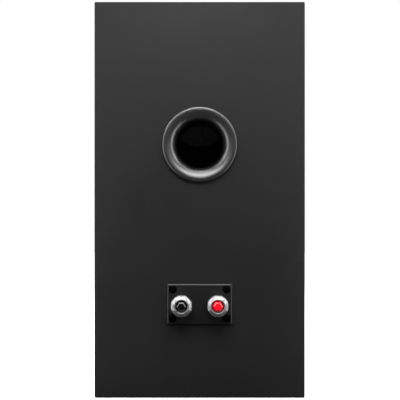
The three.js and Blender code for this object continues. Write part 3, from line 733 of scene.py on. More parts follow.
def combine(obj, others, operation="DIFFERENCE", angle=32.0):
    """Exact booleans, applied, and the helper objects removed."""
    for other in others:
        m = obj.modifiers.new("b", "BOOLEAN")
        m.operation = operation
        m.solver = "EXACT"
        m.object = other
    apply_modifiers(obj)
    for other in others:
        data = other.data
        bpy.data.objects.remove(other)
        bpy.data.meshes.remove(data)
    bm = bmesh.new()
    bm.from_mesh(obj.data)
    bmesh.ops.remove_doubles(bm, verts=bm.verts, dist=1e-6)
    bmesh.ops.dissolve_degenerate(bm, edges=bm.edges, dist=1e-7)
    bm.to_mesh(obj.data)
    bm.free()
    finish_mesh(obj, angle)


def fillet_edges(obj, width, segments=2, angle=40.0):
    """Softens the sharp edges of a finished mesh."""
    m = obj.modifiers.new("edge", "BEVEL")
    m.width = width * MM
    m.segments = segments
    m.limit_method = "ANGLE"
    m.angle_limit = math.radians(angle)
    m.use_clamp_overlap = True
    m.harden_normals = False
    apply_modifiers(obj)
    finish_mesh(obj, 40.0)


def place(obj, body, nodes=()):
    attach(obj, body)
    if nodes:
        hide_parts(*([nodes] if isinstance(nodes, str) else nodes))
    return obj


# ==================================================================== cabinet
HALF_W, HEIGHT, BOARD = 89.0, 335.0, 12.0
Y_FRONT, Y_BAFFLE, Y_BACK, Y_REAR = -108.0, -93.0, 84.0, 96.0
CORNER = 0.9           # outer corner of the wrapped box


def quarter(cx, cz, a0, a1, r=CORNER, n=4):
    return [(cx + r * math.cos(math.radians(a0 + (a1 - a0) * i / n)), cz + r * math.sin(math.radians(a0 + (a1 - a0) * i / n))) for i in range(n + 1)]


def shell_board(name, outline, skin_count, node, material):
    """One mitred board: the wrap covers the first skin_count edges of the outline and both ends, the rest is bare."""
    b = Build()
    y0, y1 = Y_BAFFLE, Y_BACK
    rings = [b.loop(outline, y) for y in (y0, y1)]
    n = len(outline)
    for i in range(n):
        j = (i + 1) % n
        b.face((rings[0][i], rings[0][j], rings[1][j], rings[1][i]), 0 if i < skin_count else 1)
    b.face(rings[0], 0)
    b.face(rings[1], 0)
    obj = b.make(name, [material, MAT["mdf"]])
    return place(obj, "cabinet", node)


W, H, C = HALF_W, HEIGHT, CORNER
right = quarter(W - C, C, -45, 0) + quarter(W - C, H - C, 0, 45)
shell_board("right_side_panel", right + [(W - BOARD, H - BOARD), (W - BOARD, BOARD)], len(right) - 1, "right_side_board", MAT["cabinet_vinyl"])
left = quarter(-W + C, H - C, 135, 180) + quarter(-W + C, C, 180, 225)
shell_board("left_side_panel", left + [(-W + BOARD, BOARD), (-W + BOARD, H - BOARD)], len(left) - 1, "left_side_board", MAT["cabinet_vinyl"])
top = quarter(W - C, H - C, 45, 90) + quarter(-W + C, H - C, 90, 135)
shell_board("top_panel", top + [(-W + BOARD, H - BOARD), (W - BOARD, H - BOARD)], len(top) - 1, "top_board", MAT["cabinet_vinyl_across"])
bottom = quarter(-W + C, C, 225, 270) + quarter(W - C, C, 270, 315)
shell_board("bottom_panel", bottom + [(W - BOARD, BOARD), (-W + BOARD, BOARD)], len(bottom) - 1, "bottom_board", MAT["cabinet_vinyl_across"])

PORT_Z, PLATE_Z, POST_X, POST_Z = 214.5, 79.5, 15.3, 78.5
PLATE_SCREWS = [(i * 22.7, PLATE_Z + k * 12.3) for i, k in ((-1, 1), (1, 1), (-1, -1), (1, -1))]


def outer_edge(y0, y1, front, rear, n=3):
    """The wrapped box outline from y0 to y1, with a small round at each end."""
    out = []
    for i in range(n + 1):
        t = math.pi / 2 * i / n
        out.append((rect(-W, W, 0, H, C, 4, front * (1 - math.sin(t))), y0 + front * (1 - math.cos(t))))
    for i in range(n + 1):
        t = math.pi / 2 * i / n
        out.append((rect(-W, W, 0, H, C, 4, rear * (1 - math.cos(t))), y1 - rear * (1 - math.sin(t))))
    return out


b = Build()
b.prism(
    outer_edge(Y_BACK, Y_REAR, 0.3, 0.6),
    [
        [(ring(0, PORT_Z, 27.6), Y_BACK), (ring(0, PORT_Z, 27.6), Y_REAR - 0.4), (ring(0, PORT_Z, 28.0), Y_REAR)],
        [(slot_outline(0, POST_Z, 42, 17), Y_BACK), (slot_outline(0, POST_Z, 42, 17), Y_REAR)],
        *[[(ring(x, z, 1.4, 12), Y_BACK), (ring(x, z, 1.4, 12), Y_REAR)] for x, z in PLATE_SCREWS],
    ],
    mat=0, low_mat=1, hole_mat=1)
place(b.make("back_panel", [MAT["cabinet_vinyl"], MAT["mdf"]], 40), "cabinet", "back_board")

WOOFER_Z, TWEETER_Z = 98.0, 246.0
WOOFER_SCREWS = [(62.6 * math.cos(math.radians(d)), WOOFER_Z + 62.6 * math.sin(math.radians(d))) for d in (45, 135, 225, 315)]
TWEETER_SCREWS = [(40.5 * math.cos(math.radians(d)), TWEETER_Z + 40.5 * math.sin(math.radians(d))) for d in (90, 210, 330)]
PEGS = [(-81, 9.5), (81, 9.5), (-81, 325.5), (81, 325.5)]
b = Build()
b.prism(
    outer_edge(Y_FRONT, Y_BAFFLE, 0.6, 0.3),
    [
        [(ring(0, WOOFER_Z, 58.6, 96), Y_FRONT), (ring(0, WOOFER_Z, 58.6, 96), Y_BAFFLE)],
        [(ring(0, TWEETER_Z, 35.5, 72), Y_FRONT), (ring(0, TWEETER_Z, 35.5, 72), Y_BAFFLE)],
        *[[(ring(x, z, 1.4, 12), Y_FRONT), (ring(x, z, 1.4, 12), Y_BAFFLE)] for x, z in WOOFER_SCREWS + TWEETER_SCREWS],
    ],
    [[(ring(x, z, 3.9, 24), Y_FRONT), (ring(x, z, 3.4, 24), Y_FRONT + 0.5), (ring(x, z, 3.4, 24), Y_FRONT + 12)] for x, z in PEGS],
    mat=0, high_mat=1, hole_mat=1, pit_mat=0)
place(b.make("baffle_panel", [MAT["baffle_vinyl"], MAT["mdf"]], 40), "cabinet", "front_baffle")

# Wadding: a quilted slab with soft edges, glued under the top board.
random.seed(4)
b = Build()
x0, x1, y0, y1, z0, z1 = -68.0, 68.0, -60.0, 66.0, 310.7, 322.6
NX, NY = 44, 40
top_v, low_v = {}, {}
for i in range(NX + 1):
    for j in range(NY + 1):
        x, y = x0 + (x1 - x0) * i / NX, y0 + (y1 - y0) * j / NY
        edge = min(min(x - x0, x1 - x) / 9.0, min(y - y0, y1 - y) / 9.0, 1.0)
        puff = math.sqrt(max(0.0, 1 - (1 - edge) ** 2))
        pull = 0.6 * noise.noise(Vector((x * 0.05, y * 0.05, 3.1))) + 0.35 * noise.noise(Vector((x * 0.16, y * 0.16, 8.4)))
        depth = (z1 - z0) * (0.42 + 0.50 * puff + 0.08 * puff * pull)
        wob = 0.8 * noise.noise(Vector((x * 0.09, y * 0.09, 0.7))) * (1 - edge)
        sx = x + (1.2 * (1 - puff) * (-1 if x > 0 else 1)) * 0 + wob * 0
        top_v[i, j] = b.vertex(sx, y, z1)
        low_v[i, j] = b.vertex(sx, y, max(z0, z1 - depth))
for i in range(NX):
    for j in range(NY):
        b.face((top_v[i, j], top_v[i + 1, j], top_v[i + 1, j + 1], top_v[i, j + 1]))
        b.face((low_v[i, j], low_v[i, j + 1], low_v[i + 1, j + 1], low_v[i + 1, j]))
for i in range(NX):
    b.face((top_v[i, 0], low_v[i, 0], low_v[i + 1, 0], top_v[i + 1, 0]))
    b.face((top_v[i, NY], top_v[i + 1, NY], low_v[i + 1, NY], low_v[i, NY]))
for j in range(NY):
    b.face((top_v[0, j], top_v[0, j + 1], low_v[0, j + 1], low_v[0, j]))
    b.face((top_v[NX, j], low_v[NX, j], low_v[NX, j + 1], top_v[NX, j + 1]))
pad = b.make("wadding_pad", [MAT["wadding"]], 60)
place(pad, "cabinet", "damping_pad")


# ======================================================================= port
FACE = Y_REAR + 4.5
flare = [(29.5 - 9.5 * math.cos(math.pi / 2 * i / 18), FACE - 10 + 10 * math.sin(math.pi / 2 * i / 18)) for i in range(19)]
profile = rounded([
    (20.0, FACE - 112, 0.9), *[(20.0, FACE - 10 - d) for d in (86, 64, 44, 28, 14)], *flare,
    (30.75, FACE - 0.12, 0.9), (31.6, FACE - 0.95, 0.8), (31.6, Y_REAR + 0.2, 0.15),
    (27.1, Y_REAR + 0.2, 0.3), (27.1, Y_REAR - 7, 0.4), (22.5, Y_REAR - 14, 0.4), (22.5, FACE - 112, 0.9)], 0.0, 5)
b = Build()
# The faces of the flange's outer fillet take the lighter copy of the port plastic: a painted highlight.
lip = [1 if r > 30.6 and a > FACE - 1.2 and r2 > 30.6 and a2 > FACE - 1.2 else 0
       for (r, a), (r2, a2) in zip(profile, profile[1:] + profile[:1])]
b.lathe(profile, 0, PORT_Z, 144, mats=lip)
place(b.make("port", [MAT["port_plastic"], MAT["port_lip_painted_highlight"]], 40), "cabinet", "port_tube")


# ============================================================= terminal plate
def plate_outline(inset):
    return rect(-27.5, 27.5, PLATE_Z - 17.1, PLATE_Z + 17.1, 0.9, 4, inset)


def plate_hole(x, z):
    return [(ring(x, z, 1.8, 24), 96.8), (ring(x, z, 1.8, 24), 97.9), (ring(x, z, 3.3, 24), 97.9), (ring(x, z, 3.3, 24), 99.15), (ring(x, z, 3.55, 24), 99.4)]


# The plate's hole walls take the near-black screw material: painted shade in the counterbores and post holes.
b = Build()
b.prism(
    [(plate_outline(0.15), 96.8), (plate_outline(0), 96.95), (plate_outline(0), 98.35), (plate_outline(0.12), 98.58),
     (plate_outline(0.80), 99.26), (plate_outline(1.04), 99.4)],
    [*[plate_hole(x, z) for x, z in PLATE_SCREWS],
     *[[(ring(s * POST_X, POST_Z, 2.4, 24), 96.8), (ring(s * POST_X, POST_Z, 2.4, 24), 99.4)] for s in (-1, 1)]],
    hole_mat=1)
place(b.make("terminal_panel", [MAT["plate_plastic"], MAT["black_screw_painted_shade"]], 40), "cabinet", "terminal_plate")

b = Build()
b.prism(
    [(rect(-27.1, 27.1, PLATE_Z - 16.7, PLATE_Z + 16.7, 0.8, 4), 96.1), (rect(-27.1, 27.1, PLATE_Z - 16.7, PLATE_Z + 16.7, 0.8, 4), 96.7)],
    [[(slot_outline(0, POST_Z, 42, 17), 96.1), (slot_outline(0, POST_Z, 42, 17), 96.7)],
     *[[(ring(x, z, 2.1, 16), 96.1), (ring(x, z, 2.1, 16), 96.7)] for x, z in PLATE_SCREWS]])
place(b.make("terminal_seal", [MAT["foam"]]), "cabinet", "terminal_gasket")


# ===================================================================== screws
def make_screw(name, cx, cz, seat, facing, head_r, head_h, shank_r, length, body, node, turn=0.0):
    """A pan head with a cross recess and a threaded shank."""
    b = Build()
    head = [(0, head_h)]
    for i in range(1, 9):
        t = math.pi / 2 * i / 8
        head.append((head_r * 0.52 + head_r * 0.48 * math.sin(t), head_h * (0.42 + 0.58 * math.cos(t))))
    head += [(head_r, 0.12), (head_r - 0.12, 0.0), (shank_r, 0)]
    y, k = -0.4, 0
    while y > -length + 2.4:
        head += [(shank_r, y), (shank_r * 0.72, y - 0.35), (shank_r, y - 0.7)]
        y -= 1.0
    head += [(shank_r * 0.7, y - 0.2), (0, -length)]
    b.lathe(head, 0, 0, 32)
    # The plate's screws take the near-black, almost unreflecting material: painted shade in their counterbores.
    obj = b.make(name, [MAT["black_screw_painted_shade" if name.startswith("plate") else "black_steel"]], 38)
    cutters = []
    for w in (0, 1):
        c = Build()
        arm, bar, depth = head_r * 0.56, head_r * 0.13, head_h * 0.62
        a, e = (arm, bar) if w == 0 else (bar, arm)
        low_loop = [(-a * 0.75, -e * 0.75), (a * 0.75, -e * 0.75), (a * 0.75, e * 0.75), (-a * 0.75, e * 0.75)]
        top_loop = [(-a, -e), (a, -e), (a, e), (-a, e)]
        c.prism([(low_loop, head_h - depth), (top_loop, head_h + 1)])
        cutters.append(c.make("cutter", []))
    combine(obj, cutters)
    for v in obj.data.vertices:
        x, y, z = v.co / MM
        ct, st = math.cos(turn), math.sin(turn)
        x, z = x * ct - z * st, x * st + z * ct
        v.co = Vector((cx + x, seat + facing * y, cz + z)) * MM
    if facing < 0:
        obj.data.flip_normals()
    finish_mesh(obj, 38)
    return place(obj, body, node)


for i, (x, z) in enumerate(PLATE_SCREWS):
    make_screw(f"plate_screw_{i + 1}", x, z, 98.1, 1, 2.7, 0.8, 1.4, 13, "cabinet", f"terminal_screw_{i + 1}", 0.3 + 1.1 * i)
for i, (x, z) in enumerate(WOOFER_SCREWS):
    make_screw(f"frame_screw_{i + 1}", x, z, -110.9, -1, 2.7, 1.9, 1.4, 16, "cabinet", f"woofer_screw_{i + 1}", 0.5 + 0.9 * i)
for i, (x, z) in enumerate(TWEETER_SCREWS):
    make_screw(f"faceplate_screw_{i + 1}", x, z, -110.1, -1, 2.7, 1.4, 1.4, 14, "cabinet", f"tweeter_screw_{i + 1}", 0.2 + 1.3 * i)


# ============================================================== binding posts
def polygon_radius(sides, corner, first_flat, cap=1.0, round_=0.0, round_r=None):
    """Radius against angle of a regular polygon with slightly rounded corners, mixed towards a circle."""
    step = TAU / sides
    apothem = corner * math.cos(step / 2)

    def radius(t):
        phi = ((t - first_flat + step / 2) % step) - step / 2
        r = apothem / math.cos(phi)
        limit = corner * cap
        if r > limit:
            r = limit
        target = round_r if round_r is not None else corner * 0.965
        return r + (target - r) * round_
    return radius


for colour, s in (("black", 1), ("red", -1)):
    cx = s * POST_X

    # Threaded stud with its collar, plug socket and cross hole.
    prof = [(0, 88.0), (1.6, 88.0), (2.0, 88.4)]
    y = 88.9
    while y < 95.0:
        prof += [(2.0, y), (1.72, y + 0.25), (2.0, y + 0.5)]
        y += 0.6
    prof += [(2.0, 99.6), (6.4, 99.6), (6.6, 99.8), (6.6, 101.3), (6.4, 101.5), (3.3, 101.5), (3.0, 101.75)]
    y = 106.4
    prof += [(3.0, y)]
    while y < 112.6:
        prof += [(2.68, y + 0.35), (3.0, y + 0.7)]
        y += 0.7
    prof += [(3.0, 113.2), (2.7, 113.6), (2.25, 113.6), (2.05, 113.4), (2.05, 102.6), (0, 102.6)]
    b = Build()
    b.lathe(prof, cx, POST_Z, 48)
    stud = b.make(f"post_stud_{colour}", [MAT["nickel"]], 34)
    c = Build()
    c.lathe([(0, POST_Z - 8), (1.1, POST_Z - 8), (1.1, POST_Z + 8), (0, POST_Z + 8)], cx, 104.6, 24, "Z")
    combine(stud, [c.make("cutter", [])], angle=34)
    place(stud, "cabinet", f"binding_stud_{colour}")

    # Solder tab: a ring and a tongue that turns inward.
    c = Build()
    c.prism([(ring(cx, POST_Z, 4.3, 40), 95.9), (ring(cx, POST_Z, 4.3, 40), 96.5)], [[(ring(cx, POST_Z, 2.3, 24), 95.9), (ring(cx, POST_Z, 2.3, 24), 96.5)]])
    tab = c.make(f"post_tab_{colour}", [MAT["nickel"]])
    near, far = s * 6.0, s * 11.6
    c = Build()
    pts = rounded([(far, 95.9), (far, 96.5), (near, 96.5, 1.2), (near, 86.5), (near + s * 0.6, 86.5), (near + s * 0.6, 95.9, 0.6)], 0, 4)
    a, d = [c.vertex(x, y, POST_Z - 1.8) for x, y in pts], [c.vertex(x, y, POST_Z + 1.8) for x, y in pts]
    c.strip(a, d)
    c.face(a)
    c.face(d)
    combine(tab, [c.make("cutter", [])], "UNION")
    place(tab, "cabinet", f"solder_tab_{colour}")

    hexagon = lambda grow: polygon_radius(6, 4.04 + grow, math.pi / 2, 0.985)
    b = Build()
    b.shaped([(2.25, 92.5), (2.9, 92.5), (lambda t: min(hexagon(0)(t), 3.72), 92.5), (hexagon(0), 92.9), (hexagon(0), 95.2),
              (lambda t: min(hexagon(0)(t), 3.72), 95.6), (2.25, 95.6)], cx, POST_Z, 72)
    place(b.make(f"post_nut_{colour}", [MAT["zinc_steel"]], 25), "cabinet", f"stud_nut_{colour}")

    # Loose washer under the knob.
    b = Build()
    b.lathe(rounded([(3.3, 102.0), (6.8, 102.0), (6.8, 103.2), (3.3, 103.2)], 0.25, 3), cx, POST_Z, 64)
    place(b.make(f"post_washer_{colour}", [MAT["nickel"]], 34), f"{colour}_clamp", f"clamp_washer_{colour}")

    # Knob: eight flats that run out into a round lip.
    def grip(corner, mix=0.5):
        return polygon_radius(8, corner, 0.0, 0.992, mix, corner * 0.99)

    b = Build()
    b.shaped([
        (3.25, 103.6), (grip(8.85), 103.6), (grip(9.1), 103.75), (grip(9.25), 104.1), (grip(9.25), 104.9),
        (grip(9.18), 116.2), (grip(9.12), 116.55), (grip(8.95), 116.9), (grip(8.0), 117.9), (grip(7.1), 118.85),
        (grip(6.78, 0.8), 119.12), (6.42, 119.33), (6.08, 119.46), (5.75, 119.5), (5.45, 119.43), (5.26, 119.25), (5.2, 118.95),
        (5.2, 114.0), (3.25, 114.0)], cx, POST_Z, 160)
    place(b.make(f"post_knob_{colour}", [MAT["knob_chrome"]], 16), f"{colour}_knob", f"knob_nut_{colour}")

    # Plug-hole cap: a pin in the socket and a tapered hexagonal head.
    def head(corner, mix=0.0):
        return polygon_radius(6, corner, math.pi / 2, 0.985, mix, 4.9)

    b = Build()
    b.shaped([
        (0, 103.2), (1.2, 103.2), (1.5, 103.5), (1.8, 104.5), (1.8, 114.3), (4.6, 114.3), (4.8, 114.5), (4.8, 116.1),
        (4.72, 116.3), (head(4.76, 0.3), 116.45), (head(4.76), 116.9), (head(4.7), 118.38), (head(4.6), 118.62), (head(3.5), 119.72),
        (head(3.22), 119.93), (head(2.9), 120.0), (head(2.6), 119.97), (0, 119.9)], cx, POST_Z, 120)
    place(b.make(f"post_cap_{colour}", [MAT[f"cap_{colour}"]], 20), f"{colour}_cap", f"plug_cap_{colour}")


# ===================================================================== woofer
def body_pair_blend(obj, weight):
    """Bakes obj's transform into its mesh and works out each point's weight from its place in millimetres; the weights
    are not used.
    """
    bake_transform(obj)
    values = [weight(v.co / MM) for v in obj.data.vertices]


def smoothstep(t):
    t = max(0.0, min(1.0, t))
    return t * t * (3 - 2 * t)


cz = WOOFER_Z
# Basket: flange, six windowed legs, spider landing and the terminal block.
b = Build()
b.lathe(rounded([
    (67, -110.7, 0.5), (67, -108.2, 0.2), (57.6, -108.2, 0.3), (56.6, -96, 3), (41, -66.2, 1.4), (16, -66.2, 0.2),
    (16, -67.8, 0.3), (32, -67.8, 0.4), (32, -73, 0.2), (36, -73, 0.2), (36, -67.8, 0.4), (39.8, -67.8, 2), (54.9, -96.6, 3), (55.6, -110.7, 0.6)], 0, 4), 0, cz, 120)
basket = b.make("woofer_basket", [MAT["black_steel"]], 34)
cutters = []
for k in range(6):
    c = Build()
    outline = rounded([(-15, -93), (15, -93), (15, -71), (-15, -71)], 4.5, 5)      # (across, y)
    a = math.pi * k / 3
    ca, sa = math.cos(a), math.sin(a)
    near = [c.vertex(38.5 * ca - u * sa, y, cz + 38.5 * sa + u * ca) for u, y in outline]
    far = [c.vertex(62 * ca - u * sa, y, cz + 62 * sa + u * ca) for u, y in outline]
    c.strip(near, far)
    c.face(near)
    c.face(far)
    cutters.append(c.make("cutter", []))
for x, z in WOOFER_SCREWS:
    c = Build()
    c.lathe([(0, -113), (1.8, -113), (1.8, -106), (0, -106)], x, z, 24)
    cutters.append(c.make("cutter", []))
combine(basket, cutters)
c = Build()
c.prism([(rect(-9, 9, cz - 56, cz - 46.5, 1.2), -84), (rect(-9, 9, cz - 56, cz - 46.5, 1.2), -76)])
combine(basket, [c.make("cutter", [])], "UNION")
place(basket, "cabinet", "woofer_frame")

b = Build()


def trim_out(inset):
    return ring(0, cz, 66.8 - inset, 128)


def trim_in(grow):
    return ring(0, cz, 58.2 + grow, 128)


b.prism(
    [(trim_out(0.7), -113.2), (trim_out(0.25), -113.05), (trim_out(0.05), -112.7), (trim_out(0), -112.3), (trim_out(0), -110.9)],
    [
        [(trim_in(1.1), -113.2), (trim_in(0.45), -112.95), (trim_in(0.1), -112.45), (trim_in(0), -111.9), (trim_in(0), -110.9)],
        *[[(ring(x, z, 3.3, 28), -113.2), (ring(x, z, 3.1, 28), -113.0), (ring(x, z, 3.1, 28), -110.9)] for x, z in WOOFER_SCREWS],
    ])
place(b.make("woofer_trim", [MAT["trim_plastic"]], 42), "cabinet", "woofer_trim_ring")

# Half-roll surround.
outer, inner = [], []
N = 20
for i in range(N + 1):
    t = math.pi * i / N
    base = -107.6 + (-111.3 + 107.6) * (i / N)
    outer.append((51.6 - 4.3 * math.cos(t), base - 4.6 * math.sin(t) - 0.3))
    inner.append((51.6 - 3.75 * math.cos(t), base - 4.05 * math.sin(t) + 0.3))
prof = [(44.8, -107.75), (46.0, -107.92), *outer, (57.4, -111.6), (57.7, -111.45), (57.7, -111.05), *inner[::-1], (46.0, -107.32), (44.8, -107.35)]
b = Build()
b.lathe(prof, 0, cz, 144)
surround = b.make("woofer_roll", [MAT["rubber"]], 50)
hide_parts("woofer_surround")
body_pair_blend(surround,
                lambda p: 1 - smoothstep((math.hypot(p.x, p.z - cz) - 46.9) / (56.2 - 46.9)))

# Cone with its slight curve, dust cap, and the voice coil.
front, back = [], []
for i in range(25):
    t = i / 24
    r = 13.6 + (46.6 - 13.6) * t
    y = -88.7 - (106.9 - 88.7) * (t ** 0.93)
    front.append((r, y))
    back.append((r, y + 0.85))
b = Build()
b.lathe(front + back[::-1], 0, cz, 144)
place(b.make("woofer_paper_cone", [MAT["cone"]], 50), "woofer_diaphragm", "woofer_cone")

co, ci = [], []
for i in range(15):
    t = math.pi / 2 * i / 14
    co.append((16 * math.cos(t), -90.9 - 7.2 * math.sin(t)))
    ci.append((15.4 * math.cos(t), -90.4 - 7.1 * math.sin(t)))
co[-1], ci[-1] = (0, -98.1), (0, -97.5)
b = Build()
b.lathe(co[::-1] + ci, 0, cz, 96)
place(b.make("woofer_dust_cap", [MAT["dust_cap"]], 50), "woofer_diaphragm", "dust_cap")

b = Build()
prof = [(12.6, -89), (13.15, -89), (13.15, -70)]
mats = [0, 0, 0]
y = -70.0
while y < -59.4:
    prof += [(13.5, y + 0.2), (13.22, y + 0.4)]
    mats += [1, 1]
    y += 0.4
prof += [(13.15, -59), (12.6, -59)]
mats += [0, 0]
b.lathe(prof, 0, cz, 72, mats=mats + [0])
place(b.make("woofer_coil", [MAT["former"], MAT["coil_wire"]], 40), "woofer_diaphragm", "voice_coil")

# Spider: five corrugations between the former and the landing.
top_s, low_s = [(13.5, -73.9)], [(13.5, -73.4)]
for i in range(61):
    r = 14.8 + (32.6 - 14.8) * i / 60
    wave = 0.95 * math.sin(TAU * 5 * i / 60) * min(1, i / 6, (60 - i) / 6)
    top_s.append((r, -73.85 + wave))
    low_s.append((r, -73.4 + wave))
top_s.append((35.6, -73.8))
low_s.append((35.6, -73.3))
b = Build()
b.lathe(top_s + low_s[::-1], 0, cz, 96)
spider = b.make("woofer_suspension", [MAT["spider"]], 60)
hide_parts("woofer_spider")
body_pair_blend(spider,
                lambda p: 1 - smoothstep((math.hypot(p.x, p.z - cz) - 14.6) / (32.4 - 14.6)))

b = Build()
b.lathe(rounded([(13.95, -66), (35, -66), (35, -61), (13.95, -61)], 0.5, 3), 0, cz, 96)
place(b.make("woofer_front_plate", [MAT["zinc_steel"]], 34), "cabinet", "woofer_top_plate")
b = Build()
b.lathe(rounded([(18, -60.8), (40, -60.8), (40, -46.8), (18, -46.8)], 0.9, 3), 0, cz, 96)
place(b.make("woofer_ferrite", [MAT["ferrite"]], 34), "cabinet", "woofer_magnet")
b = Build()
b.lathe(rounded([(0, -66.5), (11.9, -66.5, 0.8), (11.9, -46.6, 1.0), (36, -46.6, 0.8), (36, -41.6, 1.2), (6.5, -41.6, 1.2), (3.0, -44.4, 1.0), (0, -44.6)], 0, 4, closed=False), 0, cz, 96)
place(b.make("woofer_back_yoke", [MAT["yoke_steel_painted_shade"]], 34), "cabinet", "woofer_yoke")


# ==================================================================== tweeter
cz = TWEETER_Z
horn = [(15.7, -103.2)]
for i in range(13):
    t = i / 12
    horn.append((16.0 + (34.0 - 16.0) * t, -103.5 - 7.5 * math.sin(t * math.pi / 2) ** 0.9))
b = Build()
b.lathe(rounded([(46, -110.2, 0.3), (46, -108.2, 0.2), (34.5, -108.2, 0.3), (34.5, -100.2, 0.3), (15.7, -100.2, 0.15)]
                + [(r, y) for r, y in horn] + [(38.0, -111.0), (45.1, -111.0, 0.5)], 0, 4), 0, cz, 144)
plate = b.make("tweeter_panel", [MAT["faceplate_plastic"]], 38)
cutters = []
for x, z in TWEETER_SCREWS:
    c = Build()
    c.lathe([(0, -112), (3.35, -112), (3.35, -111.0), (3.1, -110.75), (3.1, -109.9), (1.8, -109.9), (1.8, -106), (0, -106)], x, z, 36)
    cutters.append(c.make("cutter", []))
combine(plate, cutters, angle=38)
c = Build()
c.prism([(rect(31, 33.6, cz - 3, cz + 3, 0.4), -100.6), (rect(31, 33.6, cz - 3, cz + 3, 0.4), -82)])
combine(plate, [c.make("cutter", [])], "UNION", angle=38)
place(plate, "cabinet", "tweeter_faceplate")

outer, inner = [], []
for i in range(13):
    t = math.pi * i / 12
    outer.append((14.3 - 1.1 * math.cos(t), -101.5 - 1.2 * math.sin(t)))
    inner.append((14.3 - 0.75 * math.cos(t), -101.2 - 1.1 * math.sin(t)))
b = Build()
b.lathe(outer + inner[::-1], 0, cz, 96)
roll = b.make("tweeter_roll", [MAT["rubber"]], 60)
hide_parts("tweeter_surround")
body_pair_blend(roll,
                lambda p: 1 - smoothstep((math.hypot(p.x, p.z - cz) - 13.2) / 2.2))

do, di = [], []
for i in range(19):
    t = math.pi / 2 * i / 18
    do.append((12.9 * math.cos(t), -101.4 - 5.8 * math.sin(t)))
    di.append((12.55 * math.cos(t), -101.2 - 5.55 * math.sin(t)))
do[-1], di[-1] = (0, -107.2), (0, -106.75)
b = Build()
b.lathe(do[::-1] + [(12.9, -94.6), (12.55, -94.6)] + di, 0, cz, 96, mats=[0] * 18 + [1, 1, 1] + [0] * 18)
place(b.make("tweeter_soft_dome", [MAT["dome"], MAT["former"]], 50), "tweeter_diaphragm", "tweeter_dome")

for name, prof, node, m, sl in (
    ("tweeter_front_plate", [(13.4, -99.9), (30, -99.9), (30, -96.8), (13.4, -96.8)], "tweeter_top_plate", "zinc_steel", "zinc_steel"),
    ("tweeter_ferrite", [(16, -96.6), (30.3, -96.6), (30.3, -87.6), (16, -87.6)], "tweeter_magnet", "ferrite", "ferrite"),
):
    b = Build()
    b.lathe(rounded(prof, 0.5, 3), 0, cz, 96)
    place(b.make(name, [MAT[m]], 34), "cabinet", node)
b = Build()
b.lathe(rounded([(0, -99.6), (11.8, -99.6, 0.6), (11.8, -87.4, 0.8), (29, -87.4, 0.6), (29, -83.4, 0.9), (0, -83.4)], 0, 4, closed=False), 0, cz, 96)
place(b.make("tweeter_back_yoke", [MAT["yoke_steel_painted_shade"]], 34), "cabinet", "tweeter_yoke")


# ========================================================= crossover and leads
b = Build()
s_hole = [(40, 7), (-40, 7), (-40, 59), (40, 60.5)]


def board_ring(inset):
    return rounded([(-45 + inset, 2 + inset), (45 - inset, 2 + inset), (45 - inset, 64 - inset), (-45 + inset, 64 - inset)], 1.5, 4)


levels = [[b.vertex(x, y, z) for x, y in board_ring(inset)] for inset, z in ((0.2, 12.0), (0.0, 12.2), (0.0, 15.8), (0.2, 16.0))]
for a, d in zip(levels, levels[1:]):
    b.strip(a, d)
b.face(levels[0])
b.face(levels[-1])
place(b.make("crossover_panel", [MAT["hardboard"]], 40), "cabinet", "crossover_board")


def coil(name, node, cx, cy, r0, r1, z0, z1, turn):
    """An air-core inductor: layers of enamelled wire, with the turns as ridges on its outer face and ends."""
    prof = [(r0, z0 + 0.4)]
    r = r0 + 0.1
    while r + turn <= r1 - 0.2:
        prof += [(r, z0 + 0.3), (r + turn * 0.25, z0 + 0.05), (r + turn * 0.75, z0 + 0.05), (r + turn, z0 + 0.3)]
        r += turn
    z = z0 + 0.4
    while z + turn <= z1 - 0.4:
        prof += [(r1 - 0.25, z), (r1 - 0.04, z + turn * 0.25), (r1 - 0.04, z + turn * 0.75), (r1 - 0.25, z + turn)]
        z += turn
    r = r1 - 0.3
    while r - turn >= r0 + 0.1:
        prof += [(r, z1 - 0.3), (r - turn * 0.25, z1 - 0.05), (r - turn * 0.75, z1 - 0.05), (r - turn, z1 - 0.3)]
        r -= turn
    prof += [(r0, z1 - 0.4)]
    b = Build()
    b.lathe(prof, cx, cy, 72, "Z")
    place(b.make(name, [MAT["coil_wire"]], 50), "cabinet", node)


coil("woofer_choke", "woofer_inductor", -24, 26, 9, 18, 16.1, 32.1, 1.0)
coil("tweeter_choke", "tweeter_inductor", 28, 48, 6, 12, 16.1, 28.1, 0.8)

b = Build()
b.lathe(rounded([(0, 1), (5.4, 1, 0.3), (5.8, 1.5, 0.3), (6.6, 1.1, 0.4), (8, 1.9, 0.9), (8, 30.2, 0.6), (7.5, 31.2, 0.5), (8, 32.2, 0.6),
                 (8, 34.3, 0.9), (6.6, 34.9, 0.4), (5.8, 34.5, 0.3), (5.4, 35, 0.3), (0, 35)], 0, 3, closed=False), 14, 24.1, 64, "X")
place(b.make("woofer_electrolytic", [MAT["sleeve"]], 40), "cabinet", "woofer_capacitor")
prof = rounded([(0, -33.6), (5.0, -33.7, 1.0), (5.9, -34, 0.4), (6.5, -33.2, 0.6), (6.5, -6.8, 0.6), (5.9, -6, 0.4), (5.0, -6.3, 1.0), (0, -6.4)], 0, 3, closed=False)
b = Build()
b.lathe(prof, 54, 22.6, 56, "X", mats=[1 if (p[0] + q[0]) / 2 < 5.6 else 0 for p, q in zip(prof, prof[1:])])
place(b.make("tweeter_film_capacitor", [MAT["film"], MAT["resin"]], 40), "cabinet", "tweeter_capacitor")


